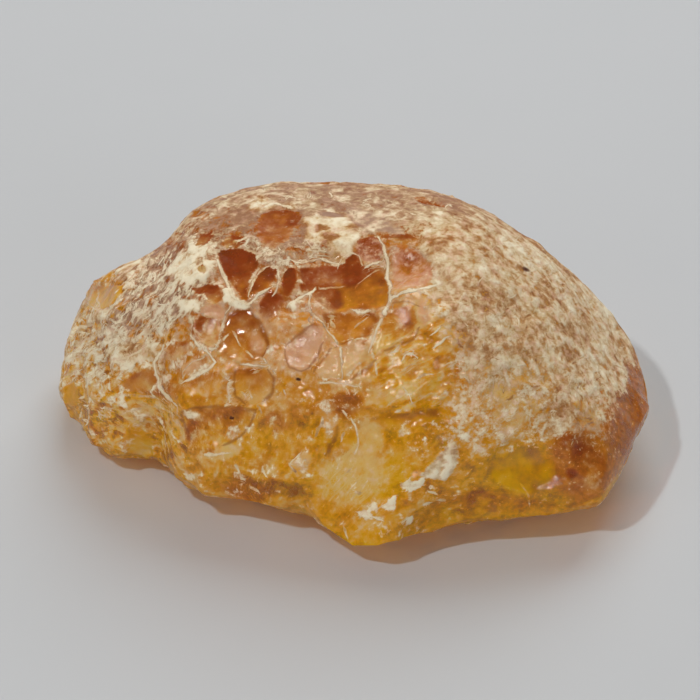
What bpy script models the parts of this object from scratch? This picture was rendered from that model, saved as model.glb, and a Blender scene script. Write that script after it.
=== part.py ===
"""Raw amber: one natural lump of fossil resin, 60 mm across, lying on a small flat spot of its underside.

The lump is a low dome, steep at the front, with a lobe at its left end, a blunt nose at its right end and
a foot that reaches forward in the middle. It is one closed mesh. A cube that is cut into small squares gives
an even grid of directions, and each direction becomes a point of the lump in three steps. Cross-sections
from the left tip to the right tip give the body. Lobes raise it, as rounded swellings, or dent it. Chips cut
it, as shallow scoops with a clear rim, where crust and resin have flaked off.

X runs along the lump, its worn front faces -Y, and Z is up. The origin is at the middle of the lump's box, on
the surface that it lies on. The lists are in millimetres and degrees, and the mesh is in metres.
"""

import math
from dataclasses import dataclass

import bmesh
import bpy
import numpy as np

MM = 0.001
NODE_NAME = "raw_amber"

# Driving dimensions
HALF_LENGTH = 30.0
GRID_SQUARES = 28
UPPER_FULLNESS = 2.2
LOWER_FULLNESS = 2.4
RIM_SOFTNESS = 0.12
NUDGE = 0.01  # radians, the small step that finds how the body faces at a place
FLAKE_SEED = 7
FLAKE_COUNT = 60
FLAKE_REACH = 18.0
FLAKE_AROUND = (-60.0, 240.0)
FLAKE_LENGTH = (2.2, 4.8)
FLAKE_WIDTH_SHARE = (0.6, 1.0)
FLAKE_DEPTH_SHARE = 0.11

# Material of the lump, as seen from a step away
AMBER_COLOUR = (0.62, 0.27, 0.06, 1.0)
AMBER_ROUGHNESS = 0.35
AMBER_IOR = 1.54


@dataclass(frozen=True)
class Section:
    """A cross-section square to X: its middle line, reach forward and back, and heights."""

    x: float
    middle: float
    front: float
    back: float
    waist: float
    top: float
    foot: float


@dataclass(frozen=True)
class Lobe:
    """A rounded swelling, or a hollow if its rise is negative, at a place on the body."""

    x: float
    around: float
    rise: float
    length: float
    width: float
    turn: float = 0.0


@dataclass(frozen=True)
class Chip:
    """A scoop cut square to the body at a place on it, whose rim would be length by width on a flat face."""

    x: float
    around: float
    depth: float
    length: float
    width: float
    turn: float = 0.0


SECTIONS = (
    Section(-30.0, 0.5, 0.0, 0.0, 5.0, 5.0, 5.0),
    Section(-27.5, 4.0, 7.5, 8.5, 4.0, 11.5, 0.5),
    Section(-24.0, 0.5, 8.5, 11.0, 5.5, 17.5, 0.5),
    Section(-19.8, -0.5, 9.5, 13.5, 5.5, 20.0, 0.5),
    Section(-17.2, 1.0, 15.0, 15.5, 5.5, 22.0, 0.3),
    Section(-12.0, 2.5, 19.0, 18.0, 5.0, 24.0, 0.1),
    Section(-4.5, 1.5, 21.0, 20.0, 4.5, 25.0, -0.2),
    Section(1.0, 1.0, 22.0, 20.5, 4.5, 25.0, -0.3),
    Section(6.5, -1.0, 20.5, 20.5, 4.5, 26.0, -0.3),
    Section(11.5, -2.5, 18.0, 19.5, 5.0, 25.5, -0.1),
    Section(16.0, -2.0, 18.0, 18.0, 5.0, 22.5, 0.2),
    Section(20.5, -1.5, 18.0, 16.0, 5.0, 18.5, 0.6),
    Section(24.5, 0.0, 19.0, 12.5, 5.5, 13.5, 2.0),
    Section(28.0, -1.0, 10.5, 8.0, 7.0, 9.0, 4.0),
    Section(30.0, -4.5, 0.0, 0.0, 6.5, 6.5, 6.5),
)

# Around is 0 at the back, 90 on top, 180 at the front and 270 underneath
LOBES = (
    # The foot, and the dents between the lobes of the front rim
    Lobe(1.8, 186.0, 3.0, 4.5, 4.5),
    Lobe(-20.4, 186.0, -1.5, 2.0, 3.2),
    Lobe(-5.5, 184.0, -1.0, 2.0, 3.0),
    Lobe(22.5, 184.0, -0.8, 1.6, 3.0),
)

CHIPS = (
    # Windows high on the worn front, from left to right
    Chip(-14.0, 115.0, 0.5, 2.2, 2.0),
    Chip(-11.5, 108.0, 0.8, 3.4, 4.6),
    Chip(-8.0, 111.0, 0.5, 2.2, 2.6, 40.0),
    Chip(-7.3, 88.0, 0.6, 3.2, 4.6),
    Chip(-0.3, 109.0, 1.1, 5.2, 5.4),
    Chip(5.6, 103.0, 0.8, 3.0, 4.8),
    # Windows half way down
    Chip(-15.5, 144.0, 0.6, 2.6, 2.8),
    Chip(-14.3, 129.0, 0.6, 2.3, 3.0),
    Chip(-10.9, 130.0, 0.7, 3.6, 3.8),
    Chip(-9.6, 146.0, 0.7, 3.0, 3.4),
    Chip(-5.1, 131.0, 0.6, 2.8, 3.8),
    Chip(-0.3, 122.0, 0.8, 4.0, 3.2),
    Chip(5.0, 125.0, 0.7, 2.8, 4.4),
    Chip(9.0, 146.0, 0.8, 4.6, 3.6),
    # Broad scoops just above the rim
    Chip(-8.0, 160.0, 0.9, 5.0, 4.4),
    Chip(1.5, 155.0, 1.0, 8.0, 6.0),
    Chip(16.8, 163.0, 0.9, 5.0, 3.8),
    Chip(23.5, 152.0, 0.7, 3.2, 3.6),
)


def spline_through(knots, values, at):
    """Natural cubic spline: pieces that meet with equal slope and curvature, and end with no curvature."""
    gap = np.diff(knots)
    slope = np.diff(values, axis=0) / gap[:, None]
    count = len(knots)
    system = np.eye(count)
    right = np.zeros((count, values.shape[1]))
    for i in range(1, count - 1):
        system[i, i - 1 : i + 2] = gap[i - 1], 2.0 * (gap[i - 1] + gap[i]), gap[i]
        right[i] = 6.0 * (slope[i] - slope[i - 1])
    bend = np.linalg.solve(system, right)
    i = np.clip(np.searchsorted(knots, at) - 1, 0, count - 2)
    step = (at - knots[i])[:, None]
    gap = gap[i][:, None]
    linear = slope[i] - gap * (2.0 * bend[i] + bend[i + 1]) / 6.0
    return values[i] + step * (linear + step * (bend[i] / 2.0 + step * (bend[i + 1] - bend[i]) / (6.0 * gap)))


def body_points(lengthwise, around):
    """Points of the body.

    The angle lengthwise runs from 0 at the left tip to pi at the right tip, and x is minus its cosine times
    half the length. Round each section the point lies on a superellipse, with its own reach to each side.
    """
    table = np.array([(s.middle, s.front, s.back, s.waist, s.top, s.foot) for s in SECTIONS])
    knots = np.array([math.acos(-s.x / HALF_LENGTH) for s in SECTIONS])
    middle, front, back, waist, top, foot = spline_through(knots, table, lengthwise).T
    side = np.cos(around)
    rise = np.sin(around)
    fullness = np.where(rise > 0.0, UPPER_FULLNESS, LOWER_FULLNESS)
    reach = (np.abs(side) ** fullness + np.abs(rise) ** fullness) ** (-1.0 / fullness)
    y = middle + np.where(side < 0.0, front, back) * reach * side
    z = waist + np.where(rise > 0.0, top - waist, waist - foot) * reach * rise
    return np.stack([-HALF_LENGTH * np.cos(lengthwise), y, z], axis=-1)


def place_on_body(x, around, turn):
    """The point at a place on the body, and its axes: along the lump, across it, and outwards."""
    lengthwise = math.acos(-x / HALF_LENGTH)
    angle = math.radians(around)
    pairs = np.array([(0.0, 0.0), (NUDGE, 0.0), (0.0, NUDGE)]) + (lengthwise, angle)
    point, ahead, beside = body_points(pairs[:, 0], pairs[:, 1])
    outwards = np.cross(ahead - point, point - beside)
    outwards /= np.linalg.norm(outwards)
    along = np.array([1.0, 0.0, 0.0]) - outwards[0] * outwards
    along /= np.linalg.norm(along)
    across = np.cross(outwards, along)
    turned = math.radians(turn)
    along, across = (
        math.cos(turned) * along + math.sin(turned) * across,
        math.cos(turned) * across - math.sin(turned) * along,
    )
    return point, np.stack([along, across, outwards])


def raise_lobe(points, lobe):
    """Moves points outwards by the lobe's rise, fading as a bell curve over its length and width."""
    centre, axes = place_on_body(lobe.x, lobe.around, lobe.turn)
    local = (points - centre) @ axes.T
    spread = ((local / (lobe.length, lobe.width, lobe.length)) ** 2).sum(axis=1)
    return points + np.exp(-spread)[:, None] * lobe.rise * axes[2]


def cut_chip(points, chip):
    """Lowers points to a bowl, depth times (distance from the middle squared, less 1), with a soft rim."""
    centre, axes = place_on_body(chip.x, chip.around, chip.turn)
    local = (points - centre) @ axes.T
    bowl = chip.depth * ((local[:, 0] / chip.length) ** 2 + (local[:, 1] / chip.width) ** 2 - 1.0)
    over = local[:, 2] - bowl
    lowered = 0.5 * (over + np.sqrt(over**2 + RIM_SOFTNESS**2)) - 0.5 * RIM_SOFTNESS
    near = np.abs(local[:, 2]) < chip.length + chip.width
    return points - np.where(near, np.maximum(lowered, 0.0), 0.0)[:, None] * axes[2]


def scattered_flakes():
    """Small chips at seeded places all over the lump, so that its back and its sides are worn too."""
    draw = np.random.default_rng(FLAKE_SEED)
    flakes = []
    for _ in range(FLAKE_COUNT):
        x = draw.uniform(-FLAKE_REACH, FLAKE_REACH)
        around = draw.uniform(*FLAKE_AROUND)
        length = draw.uniform(*FLAKE_LENGTH)
        width = length * draw.uniform(*FLAKE_WIDTH_SHARE)
        flakes.append(Chip(x, around, FLAKE_DEPTH_SHARE * length, length, width, draw.uniform(0.0, 180.0)))
    return flakes


def amber_points(directions):
    """Points of the whole lump, in millimetres, for unit directions from its middle."""
    lengthwise = np.arccos(np.clip(-directions[:, 0], -1.0, 1.0))
    around = np.arctan2(directions[:, 2], directions[:, 1])
    points = body_points(lengthwise, around)
    for lobe in LOBES:
        points = raise_lobe(points, lobe)
    for chip in (*scattered_flakes(), *CHIPS):
        points = cut_chip(points, chip)
    points[:, 2] = np.maximum(points[:, 2], 0.0)
    lowest = points.min(axis=0)
    highest = points.max(axis=0)
    return points - ((lowest[0] + highest[0]) / 2.0, (lowest[1] + highest[1]) / 2.0, lowest[2])


def cube_of_directions(mesh):
    """Cuts a cube into squares, evened out by a tangent, and returns each corner's direction."""
    grid = bmesh.new()
    bmesh.ops.create_cube(grid, size=2.0)
    bmesh.ops.subdivide_edges(grid, edges=grid.edges[:], cuts=GRID_SQUARES - 1, use_grid_fill=True)
    grid.to_mesh(mesh)
    grid.free()
    corners = np.empty(len(mesh.vertices) * 3)
    mesh.vertices.foreach_get("co", corners)
    even = np.tan(corners.reshape(-1, 3) * math.pi / 4.0)
    return even / np.linalg.norm(even, axis=1, keepdims=True)


def amber_material():
    """Warm see-through resin under a thin, pale, worn crust, as one plain colour."""
    material = bpy.data.materials.new("amber")
    material.use_nodes = True
    shader = material.node_tree.nodes["Principled BSDF"]
    shader.inputs["Base Color"].default_value = AMBER_COLOUR
    shader.inputs["Roughness"].default_value = AMBER_ROUGHNESS
    shader.inputs["Metallic"].default_value = 0.0
    shader.inputs["IOR"].default_value = AMBER_IOR
    material.diffuse_color = AMBER_COLOUR
    return material


def make_amber():
    """Adds the lump to the scene as one closed, smooth-shaded object."""
    mesh = bpy.data.meshes.new(NODE_NAME)
    directions = cube_of_directions(mesh)
    mesh.vertices.foreach_set("co", (amber_points(directions) * MM).ravel())
    mesh.shade_smooth()
    mesh.materials.append(amber_material())
    mesh.update()
    amber = bpy.data.objects.new(NODE_NAME, mesh)
    bpy.context.scene.collection.objects.link(amber)
    return amber


def clear_scene():
    """Removes whatever objects the scene holds."""
    for old in list(bpy.data.objects):
        bpy.data.objects.remove(old, do_unlink=True)


def main():
    clear_scene()
    make_amber()


main()
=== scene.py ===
"""Raw amber as it looks: a lump of clear resin under a pale, worn crust, with windows where flakes came off.

The lump is one closed surface. Its body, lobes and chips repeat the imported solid's own formulas on a finer
grid. Spots, streaks, patches and edges then give every point of the skin its level of each layer, such as
crust, chalk, tone and haze, and the levels raise the crust, sink the windows and colour them. Hairlines are
kept as a distance from each point, and the material draws them. All of these are placed by pixels of the
picture, through the camera, and what the picture doesn't show is weathered by noise in three dimensions.
Shapes are worked out in millimetres and put into the mesh in metres.
"""

import itertools
import logging
import math
from dataclasses import dataclass, field
from enum import Enum, IntEnum

import bpy
import numpy as np
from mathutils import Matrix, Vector
from numpy.typing import NDArray


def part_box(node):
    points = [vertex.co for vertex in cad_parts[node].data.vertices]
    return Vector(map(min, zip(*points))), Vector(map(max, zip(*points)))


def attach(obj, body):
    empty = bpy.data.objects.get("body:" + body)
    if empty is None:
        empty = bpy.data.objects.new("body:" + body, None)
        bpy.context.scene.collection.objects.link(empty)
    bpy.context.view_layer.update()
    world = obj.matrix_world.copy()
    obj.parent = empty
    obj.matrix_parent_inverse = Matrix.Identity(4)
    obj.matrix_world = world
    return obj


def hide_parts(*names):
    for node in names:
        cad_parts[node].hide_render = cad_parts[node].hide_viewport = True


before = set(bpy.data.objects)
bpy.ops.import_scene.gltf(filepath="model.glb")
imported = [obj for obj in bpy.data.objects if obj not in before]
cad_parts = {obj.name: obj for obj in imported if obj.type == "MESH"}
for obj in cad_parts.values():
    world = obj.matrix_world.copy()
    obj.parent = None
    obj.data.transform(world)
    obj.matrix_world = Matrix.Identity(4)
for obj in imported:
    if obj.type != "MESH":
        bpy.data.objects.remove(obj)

Array = NDArray[np.float64]
Whole = NDArray[np.int64]
Socket = bpy.types.NodeSocket

LOG = logging.getLogger("raw_amber")
MM = 0.001
NODE = "raw_amber"
BODY = "root"
FLOW = "flow"
# Factors and shifts that mix the bits of a cell's numbers, and the bits that are kept
HASH_PRIMES = np.array([73856093, 19349663, 83492791], np.uint64)
SEED_PRIME = np.uint64(2654435761)
HASH_ROUNDS = ((np.uint64(15), np.uint64(0x2C1B3C6D)), (np.uint64(12), np.uint64(0x297A2D39)))
LAST_SHIFT = np.uint64(15)
HASH_MASK = np.uint64(0xFFFFFF)
HASH_VALUES = float(0x1000000)
# How far apart the seeds of a noise's layers are
SEEDS_APART = 17
WHITE_LIGHT = (1.0, 0.98, 0.95)


class Seed(IntEnum):
    """Which random field each noise reads first. Its finer layers and its scoops read later ones."""

    WEATHER = 11
    SHARD_WARP = 21
    STREAK_WAVES = 31
    STREAKS = 33
    SPLINTERS = 35
    SCOOPS = 41
    NICKS = 61
    HAZE = 71
    FLECKS = 81
    ACROSS = 201
    DOWN = 301
    UNEVEN = 401
    BROAD = 501
    GRAIN = 601
    PATCHY = 901
    PATCHY_FINE = 951
    PATCHY_THIN = 971


def smooth_step(value: Array, low: float, high: float) -> Array:
    """0 up to low, 1 from high, and between them 3 t squared less 2 t cubed.

    Args:
        value: Any numbers.
        low: Where the step starts.
        high: Where the step ends.

    Returns:
        Shares from 0 to 1.
    """
    t = np.clip((value - low) / (high - low), 0.0, 1.0)
    return t * t * (3.0 - 2.0 * t)


def hashed(cells: Whole, seed: int) -> Array:
    """A steady random number for each cell of a lattice: its three whole numbers, multiplied and mixed.

    Args:
        cells: Whole coordinates, three to a row.
        seed: Which of many random fields to read.

    Returns:
        Numbers from 0 to 1.
    """
    x, y, z = (part * prime for part, prime in zip(np.moveaxis(cells.astype(np.uint64), -1, 0), HASH_PRIMES))
    mixed = x ^ y ^ z ^ (np.uint64(seed) * SEED_PRIME)
    for shift, factor in HASH_ROUNDS:
        mixed = (mixed ^ (mixed >> shift)) * factor
    mixed ^= mixed >> LAST_SHIFT
    return (mixed & HASH_MASK).astype(float) / HASH_VALUES


def soft_noise(points: Array, size: float, seed: int) -> Array:
    """Value noise: random numbers at a lattice's corners, blended smoothly between the eight round a point.

    Args:
        points: Places in millimetres.
        size: The lattice's spacing in millimetres.
        seed: Which random field to read.

    Returns:
        Numbers from 0 to 1, with a mean of a half.
    """
    scaled = points / size
    base = np.floor(scaled)
    part = smooth_step(scaled - base, 0.0, 1.0)
    total = np.zeros(len(points))
    for corner in itertools.product((0, 1), repeat=3):
        share = np.where(corner, part, 1.0 - part).prod(axis=1)
        total += share * hashed((base + corner).astype(np.int64), seed)
    return total


def layered_noise(points: Array, size: float, seed: int, layers: int = 3) -> Array:
    """Soft noise summed over layers, each half the size and half the strength of the one before.

    Args:
        points: Places in millimetres.
        size: The spacing of the coarsest layer.
        seed: Which random field to read.
        layers: How many layers there are.

    Returns:
        Numbers about a half, mostly from 0.2 to 0.8.
    """
    total = np.zeros(len(points))
    for layer in range(layers):
        total += soft_noise(points, size / 2**layer, seed + SEEDS_APART * layer) / 2**layer
    return total / (2.0 - 2.0 ** (1 - layers))


def scooped_noise(points: Array, size: float, seed: int, tilt: float = 1.0) -> tuple[Array, Array, Array]:
    """Shallow scoops that meet in sharp ridges, as flakes leave them.

    Each cell of the lattice has a scattered middle. Its scoop is the distance from there squared, plus a
    slope in a direction of its own, and the lowest scoop counts.

    Args:
        points: Places in millimetres.
        size: The usual width of a scoop.
        seed: Which random field to read.
        tilt: The slope's strength.

    Returns:
        The scoops' height, the gap to the next scoop, which is 0 on a ridge, and the scoop's own number.
    """
    scaled = points / size
    base = np.floor(scaled).astype(np.int64)
    lowest = np.full(len(points), np.inf)
    second = lowest.copy()
    own = np.zeros(len(points))
    for offset in itertools.product((-1, 0, 1), repeat=3):
        cell = base + offset
        away = scaled - cell - np.stack([hashed(cell, seed + k) for k in range(3)], axis=1)
        slope = np.stack([hashed(cell, seed + 4 + k) - 0.5 for k in range(3)], axis=1)
        scoop = (away**2).sum(axis=1) + tilt * (slope * away).sum(axis=1)
        lower = scoop < lowest
        second = np.where(lower, lowest, np.minimum(second, scoop))
        own = np.where(lower, hashed(cell, seed + 3), own)
        lowest = np.minimum(lowest, scoop)
    return lowest, second - lowest, own


@dataclass(frozen=True)
class PictureView:
    """The camera that took the picture, and the way from the lump to the picture's pixels."""

    pixels: float = 700.0
    mm_per_pixel: float = 0.1017
    elevation: float = 35.0
    distance: float = 600.0
    aim: tuple[float, float, float] = (-0.25, 1.0, 10.4)
    sensor: float = 36.0
    seen: tuple[float, float] = (0.01, 10.0)

    def axes(self) -> tuple[Array, Array, Array]:
        """The camera's own axes.

        Returns:
            The directions to the picture's right, to its top and back to the camera.
        """
        lift = math.radians(self.elevation)
        back = np.array([0.0, -math.cos(lift), math.sin(lift)])
        right = np.array([1.0, 0.0, 0.0])
        return right, np.cross(back, right), back

    def eye(self) -> Array:
        """The camera's place in millimetres."""
        return np.array(self.aim) + self.distance * self.axes()[2]

    def project(self, points: Array) -> tuple[Array, Array]:
        """Where points fall in the picture: their sideways and upward offsets over their depth.

        Args:
            points: Places in millimetres.

        Returns:
            Pixels from the left edge and from the top edge.
        """
        right, up, back = self.axes()
        offset = points - self.eye()
        scale = self.distance / self.mm_per_pixel / -(offset @ back)
        middle = self.pixels / 2.0
        return middle + scale * (offset @ right), middle - scale * (offset @ up)

    def facing(self, points: Array, normals: Array) -> Array:
        """The cosine between each normal and the way to the camera.

        Args:
            points: Places in millimetres.
            normals: Unit normals there.

        Returns:
            1 where the skin looks at the camera, 0 at the outline and below 0 behind it.
        """
        way = self.eye() - points
        return (normals * way).sum(axis=1) / np.linalg.norm(way, axis=1)

    def add_camera(self) -> bpy.types.Object:
        """Adds the camera and makes it the scene's.

        Returns:
            The camera object.
        """
        data = bpy.data.cameras.new("picture_camera")
        data.sensor_width = self.sensor
        data.lens = self.sensor * self.distance / (self.mm_per_pixel * self.pixels)
        data.clip_start, data.clip_end = self.seen
        camera = bpy.data.objects.new("picture_camera", data)
        camera.location = Vector(self.eye() * MM)
        camera.rotation_mode = "QUATERNION"
        camera.rotation_quaternion = Vector(self.axes()[2]).to_track_quat("Z", "Y")
        bpy.context.scene.collection.objects.link(camera)
        bpy.context.scene.camera = camera
        return camera


@dataclass(frozen=True)
class Section:
    """A cross-section square to X: its middle line, reach forward and back, and heights."""

    x: float
    middle: float
    front: float
    back: float
    waist: float
    top: float
    foot: float


@dataclass(frozen=True)
class Lobe:
    """A rounded swelling, or a hollow if its rise is negative, at a place on the body."""

    x: float
    around: float
    rise: float
    length: float
    width: float
    turn: float = 0.0


@dataclass(frozen=True)
class Chip:
    """A scoop cut square to the body at a place on it, whose rim would be length by width on a flat face."""

    x: float
    around: float
    depth: float
    length: float
    width: float
    turn: float = 0.0


SECTIONS = (
    Section(-30, 0.5, 0, 0, 5, 5, 5),
    Section(-27.5, 4, 7.5, 8.5, 4, 11.5, 0.5),
    Section(-24, 0.5, 8.5, 11, 5.5, 17.5, 0.5),
    Section(-19.8, -0.5, 9.5, 13.5, 5.5, 20, 0.5),
    Section(-17.2, 1, 15, 15.5, 5.5, 22, 0.3),
    Section(-12, 2.5, 19, 18, 5, 24, 0.1),
    Section(-4.5, 1.5, 21, 20, 4.5, 25, -0.2),
    Section(1, 1, 22, 20.5, 4.5, 25, -0.3),
    Section(6.5, -1, 20.5, 20.5, 4.5, 26, -0.3),
    Section(11.5, -2.5, 18, 19.5, 5, 25.5, -0.1),
    Section(16, -2, 18, 18, 5, 22.5, 0.2),
    Section(20.5, -1.5, 18, 16, 5, 18.5, 0.6),
    Section(24.5, 0, 19, 12.5, 5.5, 13.5, 2),
    Section(28, -1, 10.5, 8, 7, 9, 4),
    Section(30, -4.5, 0, 0, 6.5, 6.5, 6.5),
)

# Around is 0 at the back, 90 on top, 180 at the front and 270 underneath
LOBES = (
    # The foot, and the dents between the lobes of the front rim
    Lobe(1.8, 186, 3, 4.5, 4.5),
    Lobe(-20.4, 186, -1.5, 2, 3.2),
    Lobe(-5.5, 184, -1, 2, 3),
    Lobe(22.5, 184, -0.8, 1.6, 3),
)

CHIPS = (
    # Windows high on the worn front, from left to right
    Chip(-14, 115, 0.5, 2.2, 2),
    Chip(-11.5, 108, 0.8, 3.4, 4.6),
    Chip(-8, 111, 0.5, 2.2, 2.6, 40),
    Chip(-7.3, 88, 0.6, 3.2, 4.6),
    Chip(-0.3, 109, 1.1, 5.2, 5.4),
    Chip(5.6, 103, 0.8, 3, 4.8),
    # Windows half way down
    Chip(-15.5, 144, 0.6, 2.6, 2.8),
    Chip(-14.3, 129, 0.6, 2.3, 3),
    Chip(-10.9, 130, 0.7, 3.6, 3.8),
    Chip(-9.6, 146, 0.7, 3, 3.4),
    Chip(-5.1, 131, 0.6, 2.8, 3.8),
    Chip(-0.3, 122, 0.8, 4, 3.2),
    Chip(5, 125, 0.7, 2.8, 4.4),
    Chip(9, 146, 0.8, 4.6, 3.6),
    # Broad scoops just above the rim
    Chip(-8, 160, 0.9, 5, 4.4),
    Chip(1.5, 155, 1, 8, 6),
    Chip(16.8, 163, 0.9, 5, 3.8),
    Chip(23.5, 152, 0.7, 3.2, 3.6),
)


@dataclass(frozen=True)
class LumpShape:
    """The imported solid's own shape, as formulas: cross-sections, lobes and chips, in millimetres."""

    half_length: float = 30.0
    upper_fullness: float = 2.2
    lower_fullness: float = 2.4
    rim_softness: float = 0.12
    nudge: float = 0.01
    flake_seed: int = 7
    flake_count: int = 60
    flake_reach: float = 18.0
    flake_around: tuple[float, float] = (-60.0, 240.0)
    flake_length: tuple[float, float] = (2.2, 4.8)
    flake_width_share: tuple[float, float] = (0.6, 1.0)
    flake_depth_share: float = 0.11

    def spline_through(self, knots: Array, values: Array, at: Array) -> Array:
        """Natural cubic spline: pieces that meet with equal slope and curvature, and end with no curvature.

        Args:
            knots: Where the values are given, rising.
            values: One row for each knot.
            at: Where the spline is wanted.

        Returns:
            One row for each place in at.
        """
        gap = np.diff(knots)
        slope = np.diff(values, axis=0) / gap[:, None]
        count = len(knots)
        system = np.eye(count)
        right = np.zeros((count, values.shape[1]))
        for i in range(1, count - 1):
            system[i, i - 1 : i + 2] = gap[i - 1], 2.0 * (gap[i - 1] + gap[i]), gap[i]
            right[i] = 6.0 * (slope[i] - slope[i - 1])
        bend = np.linalg.solve(system, right)
        i = np.clip(np.searchsorted(knots, at) - 1, 0, count - 2)
        step = (at - knots[i])[:, None]
        gap = gap[i][:, None]
        linear = slope[i] - gap * (2.0 * bend[i] + bend[i + 1]) / 6.0
        cubic = bend[i] / 2.0 + step * (bend[i + 1] - bend[i]) / (6.0 * gap)
        return values[i] + step * (linear + step * cubic)

    def body_points(self, lengthwise: Array, around: Array) -> Array:
        """Points of the body, a function of two angles.

        Lengthwise runs from 0 at the left tip to pi at the right tip, and x is minus its cosine times half
        the length. Round each section the point lies on a superellipse, with its own reach to each side.

        Args:
            lengthwise: Angles from the left tip.
            around: Angles round the section, 0 at the back and a quarter turn on top.

        Returns:
            Points in millimetres.
        """
        table = np.array([(s.middle, s.front, s.back, s.waist, s.top, s.foot) for s in SECTIONS])
        knots = np.array([math.acos(-s.x / self.half_length) for s in SECTIONS])
        middle, front, back, waist, top, foot = self.spline_through(knots, table, lengthwise).T
        side = np.cos(around)
        rise = np.sin(around)
        fullness = np.where(rise > 0.0, self.upper_fullness, self.lower_fullness)
        reach = (np.abs(side) ** fullness + np.abs(rise) ** fullness) ** (-1.0 / fullness)
        y = middle + np.where(side < 0.0, front, back) * reach * side
        z = waist + np.where(rise > 0.0, top - waist, waist - foot) * reach * rise
        return np.stack([-self.half_length * np.cos(lengthwise), y, z], axis=-1)

    def place_on_body(self, x: float, around: float, turn: float) -> tuple[Array, Array]:
        """A place on the body and the axes there.

        Args:
            x: Millimetres along the lump.
            around: Degrees round the section.
            turn: Degrees that the axes are turned about the outward one.

        Returns:
            The point, and the axes along the lump, across it and outwards.
        """
        pairs = np.array([(0.0, 0.0), (self.nudge, 0.0), (0.0, self.nudge)])
        pairs += (math.acos(-x / self.half_length), math.radians(around))
        point, ahead, beside = self.body_points(pairs[:, 0], pairs[:, 1])
        outwards = np.cross(ahead - point, point - beside)
        outwards /= np.linalg.norm(outwards)
        along = np.array([1.0, 0.0, 0.0]) - outwards[0] * outwards
        along /= np.linalg.norm(along)
        across = np.cross(outwards, along)
        cosine = math.cos(math.radians(turn))
        sine = math.sin(math.radians(turn))
        return point, np.stack([cosine * along + sine * across, cosine * across - sine * along, outwards])

    def raise_lobe(self, points: Array, lobe: Lobe) -> Array:
        """Moves points outwards by the lobe's rise, fading as a bell curve over its length and width.

        Args:
            points: Places in millimetres.
            lobe: The swelling.

        Returns:
            The moved points.
        """
        centre, axes = self.place_on_body(lobe.x, lobe.around, lobe.turn)
        local = (points - centre) @ axes.T
        spread = ((local / (lobe.length, lobe.width, lobe.length)) ** 2).sum(axis=1)
        return points + np.exp(-spread)[:, None] * lobe.rise * axes[2]

    def cut_chip(self, points: Array, chip: Chip) -> Array:
        """Lowers points to a bowl, depth times (distance from the middle squared, less 1), with a soft rim.

        Args:
            points: Places in millimetres.
            chip: The bowl.

        Returns:
            The lowered points.
        """
        centre, axes = self.place_on_body(chip.x, chip.around, chip.turn)
        local = (points - centre) @ axes.T
        bowl = chip.depth * ((local[:, 0] / chip.length) ** 2 + (local[:, 1] / chip.width) ** 2 - 1.0)
        over = local[:, 2] - bowl
        lowered = 0.5 * (over + np.sqrt(over**2 + self.rim_softness**2)) - 0.5 * self.rim_softness
        near = np.abs(local[:, 2]) < chip.length + chip.width
        return points - np.where(near, np.maximum(lowered, 0.0), 0.0)[:, None] * axes[2]

    def scattered_flakes(self) -> list[Chip]:
        """Small chips at seeded places all over the lump, so that its back and its sides are worn too.

        Returns:
            One chip for each flake.
        """
        draw = np.random.default_rng(self.flake_seed)
        flakes = []
        for _ in range(self.flake_count):
            x = draw.uniform(-self.flake_reach, self.flake_reach)
            around = draw.uniform(*self.flake_around)
            length = draw.uniform(*self.flake_length)
            width = length * draw.uniform(*self.flake_width_share)
            depth = self.flake_depth_share * length
            flakes.append(Chip(x, around, depth, length, width, draw.uniform(0.0, 180.0)))
        return flakes

    def points(self, directions: Array) -> Array:
        """Points of the whole lump, before it is set down.

        Args:
            directions: Unit directions from the lump's middle.

        Returns:
            Points in millimetres.
        """
        lengthwise = np.arccos(np.clip(-directions[:, 0], -1.0, 1.0))
        around = np.arctan2(directions[:, 2], directions[:, 1])
        points = self.body_points(lengthwise, around)
        for lobe in LOBES:
            points = self.raise_lobe(points, lobe)
        for chip in (*self.scattered_flakes(), *CHIPS):
            points = self.cut_chip(points, chip)
        return points


def cube_grid(squares: int) -> tuple[Array, Whole]:
    """A cube's surface, each face cut into a grid, with its seams welded.

    A corner is three whole numbers, so that the corners that faces share have the same three and count once.
    Each number is then evened out by the tangent of an eighth of a turn, and the corner scaled to length 1.

    Args:
        squares: Squares along each edge of the cube.

    Returns:
        Unit directions, and four of their indices for each square, facing outwards.
    """
    a, b = np.meshgrid(np.arange(squares + 1), np.arange(squares + 1), indexing="ij")
    faces = []
    for axis, side in itertools.product(range(3), (0, squares)):
        corner = np.empty((*a.shape, 3), np.int64)
        corner[..., axis] = side
        corner[..., (axis + 1) % 3] = a if side else b
        corner[..., (axis + 2) % 3] = b if side else a
        faces.append(np.stack([corner[:-1, :-1], corner[1:, :-1], corner[1:, 1:], corner[:-1, 1:]], axis=2))
    corners = np.concatenate([face.reshape(-1, 4, 3) for face in faces])
    triples, quads = np.unique(corners.reshape(-1, 3), axis=0, return_inverse=True)
    even = np.tan((2.0 * triples / squares - 1.0) * math.pi / 4.0)
    return even / np.linalg.norm(even, axis=1, keepdims=True), quads.reshape(-1, 4)


def outward_normals(points: Array, quads: Whole) -> Array:
    """The mean normal at each point: the cross products of its squares' diagonals, summed.

    Args:
        points: Places in millimetres.
        quads: Four indices for each square.

    Returns:
        Unit normals.
    """
    corner = points[quads]
    square = np.cross(corner[:, 2] - corner[:, 0], corner[:, 3] - corner[:, 1])
    total = np.stack(
        [np.bincount(quads.ravel(), np.repeat(square[:, k], 4), len(points)) for k in range(3)], axis=1
    )
    return total / np.linalg.norm(total, axis=1, keepdims=True)


Line = tuple[tuple[float, float], ...]


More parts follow.
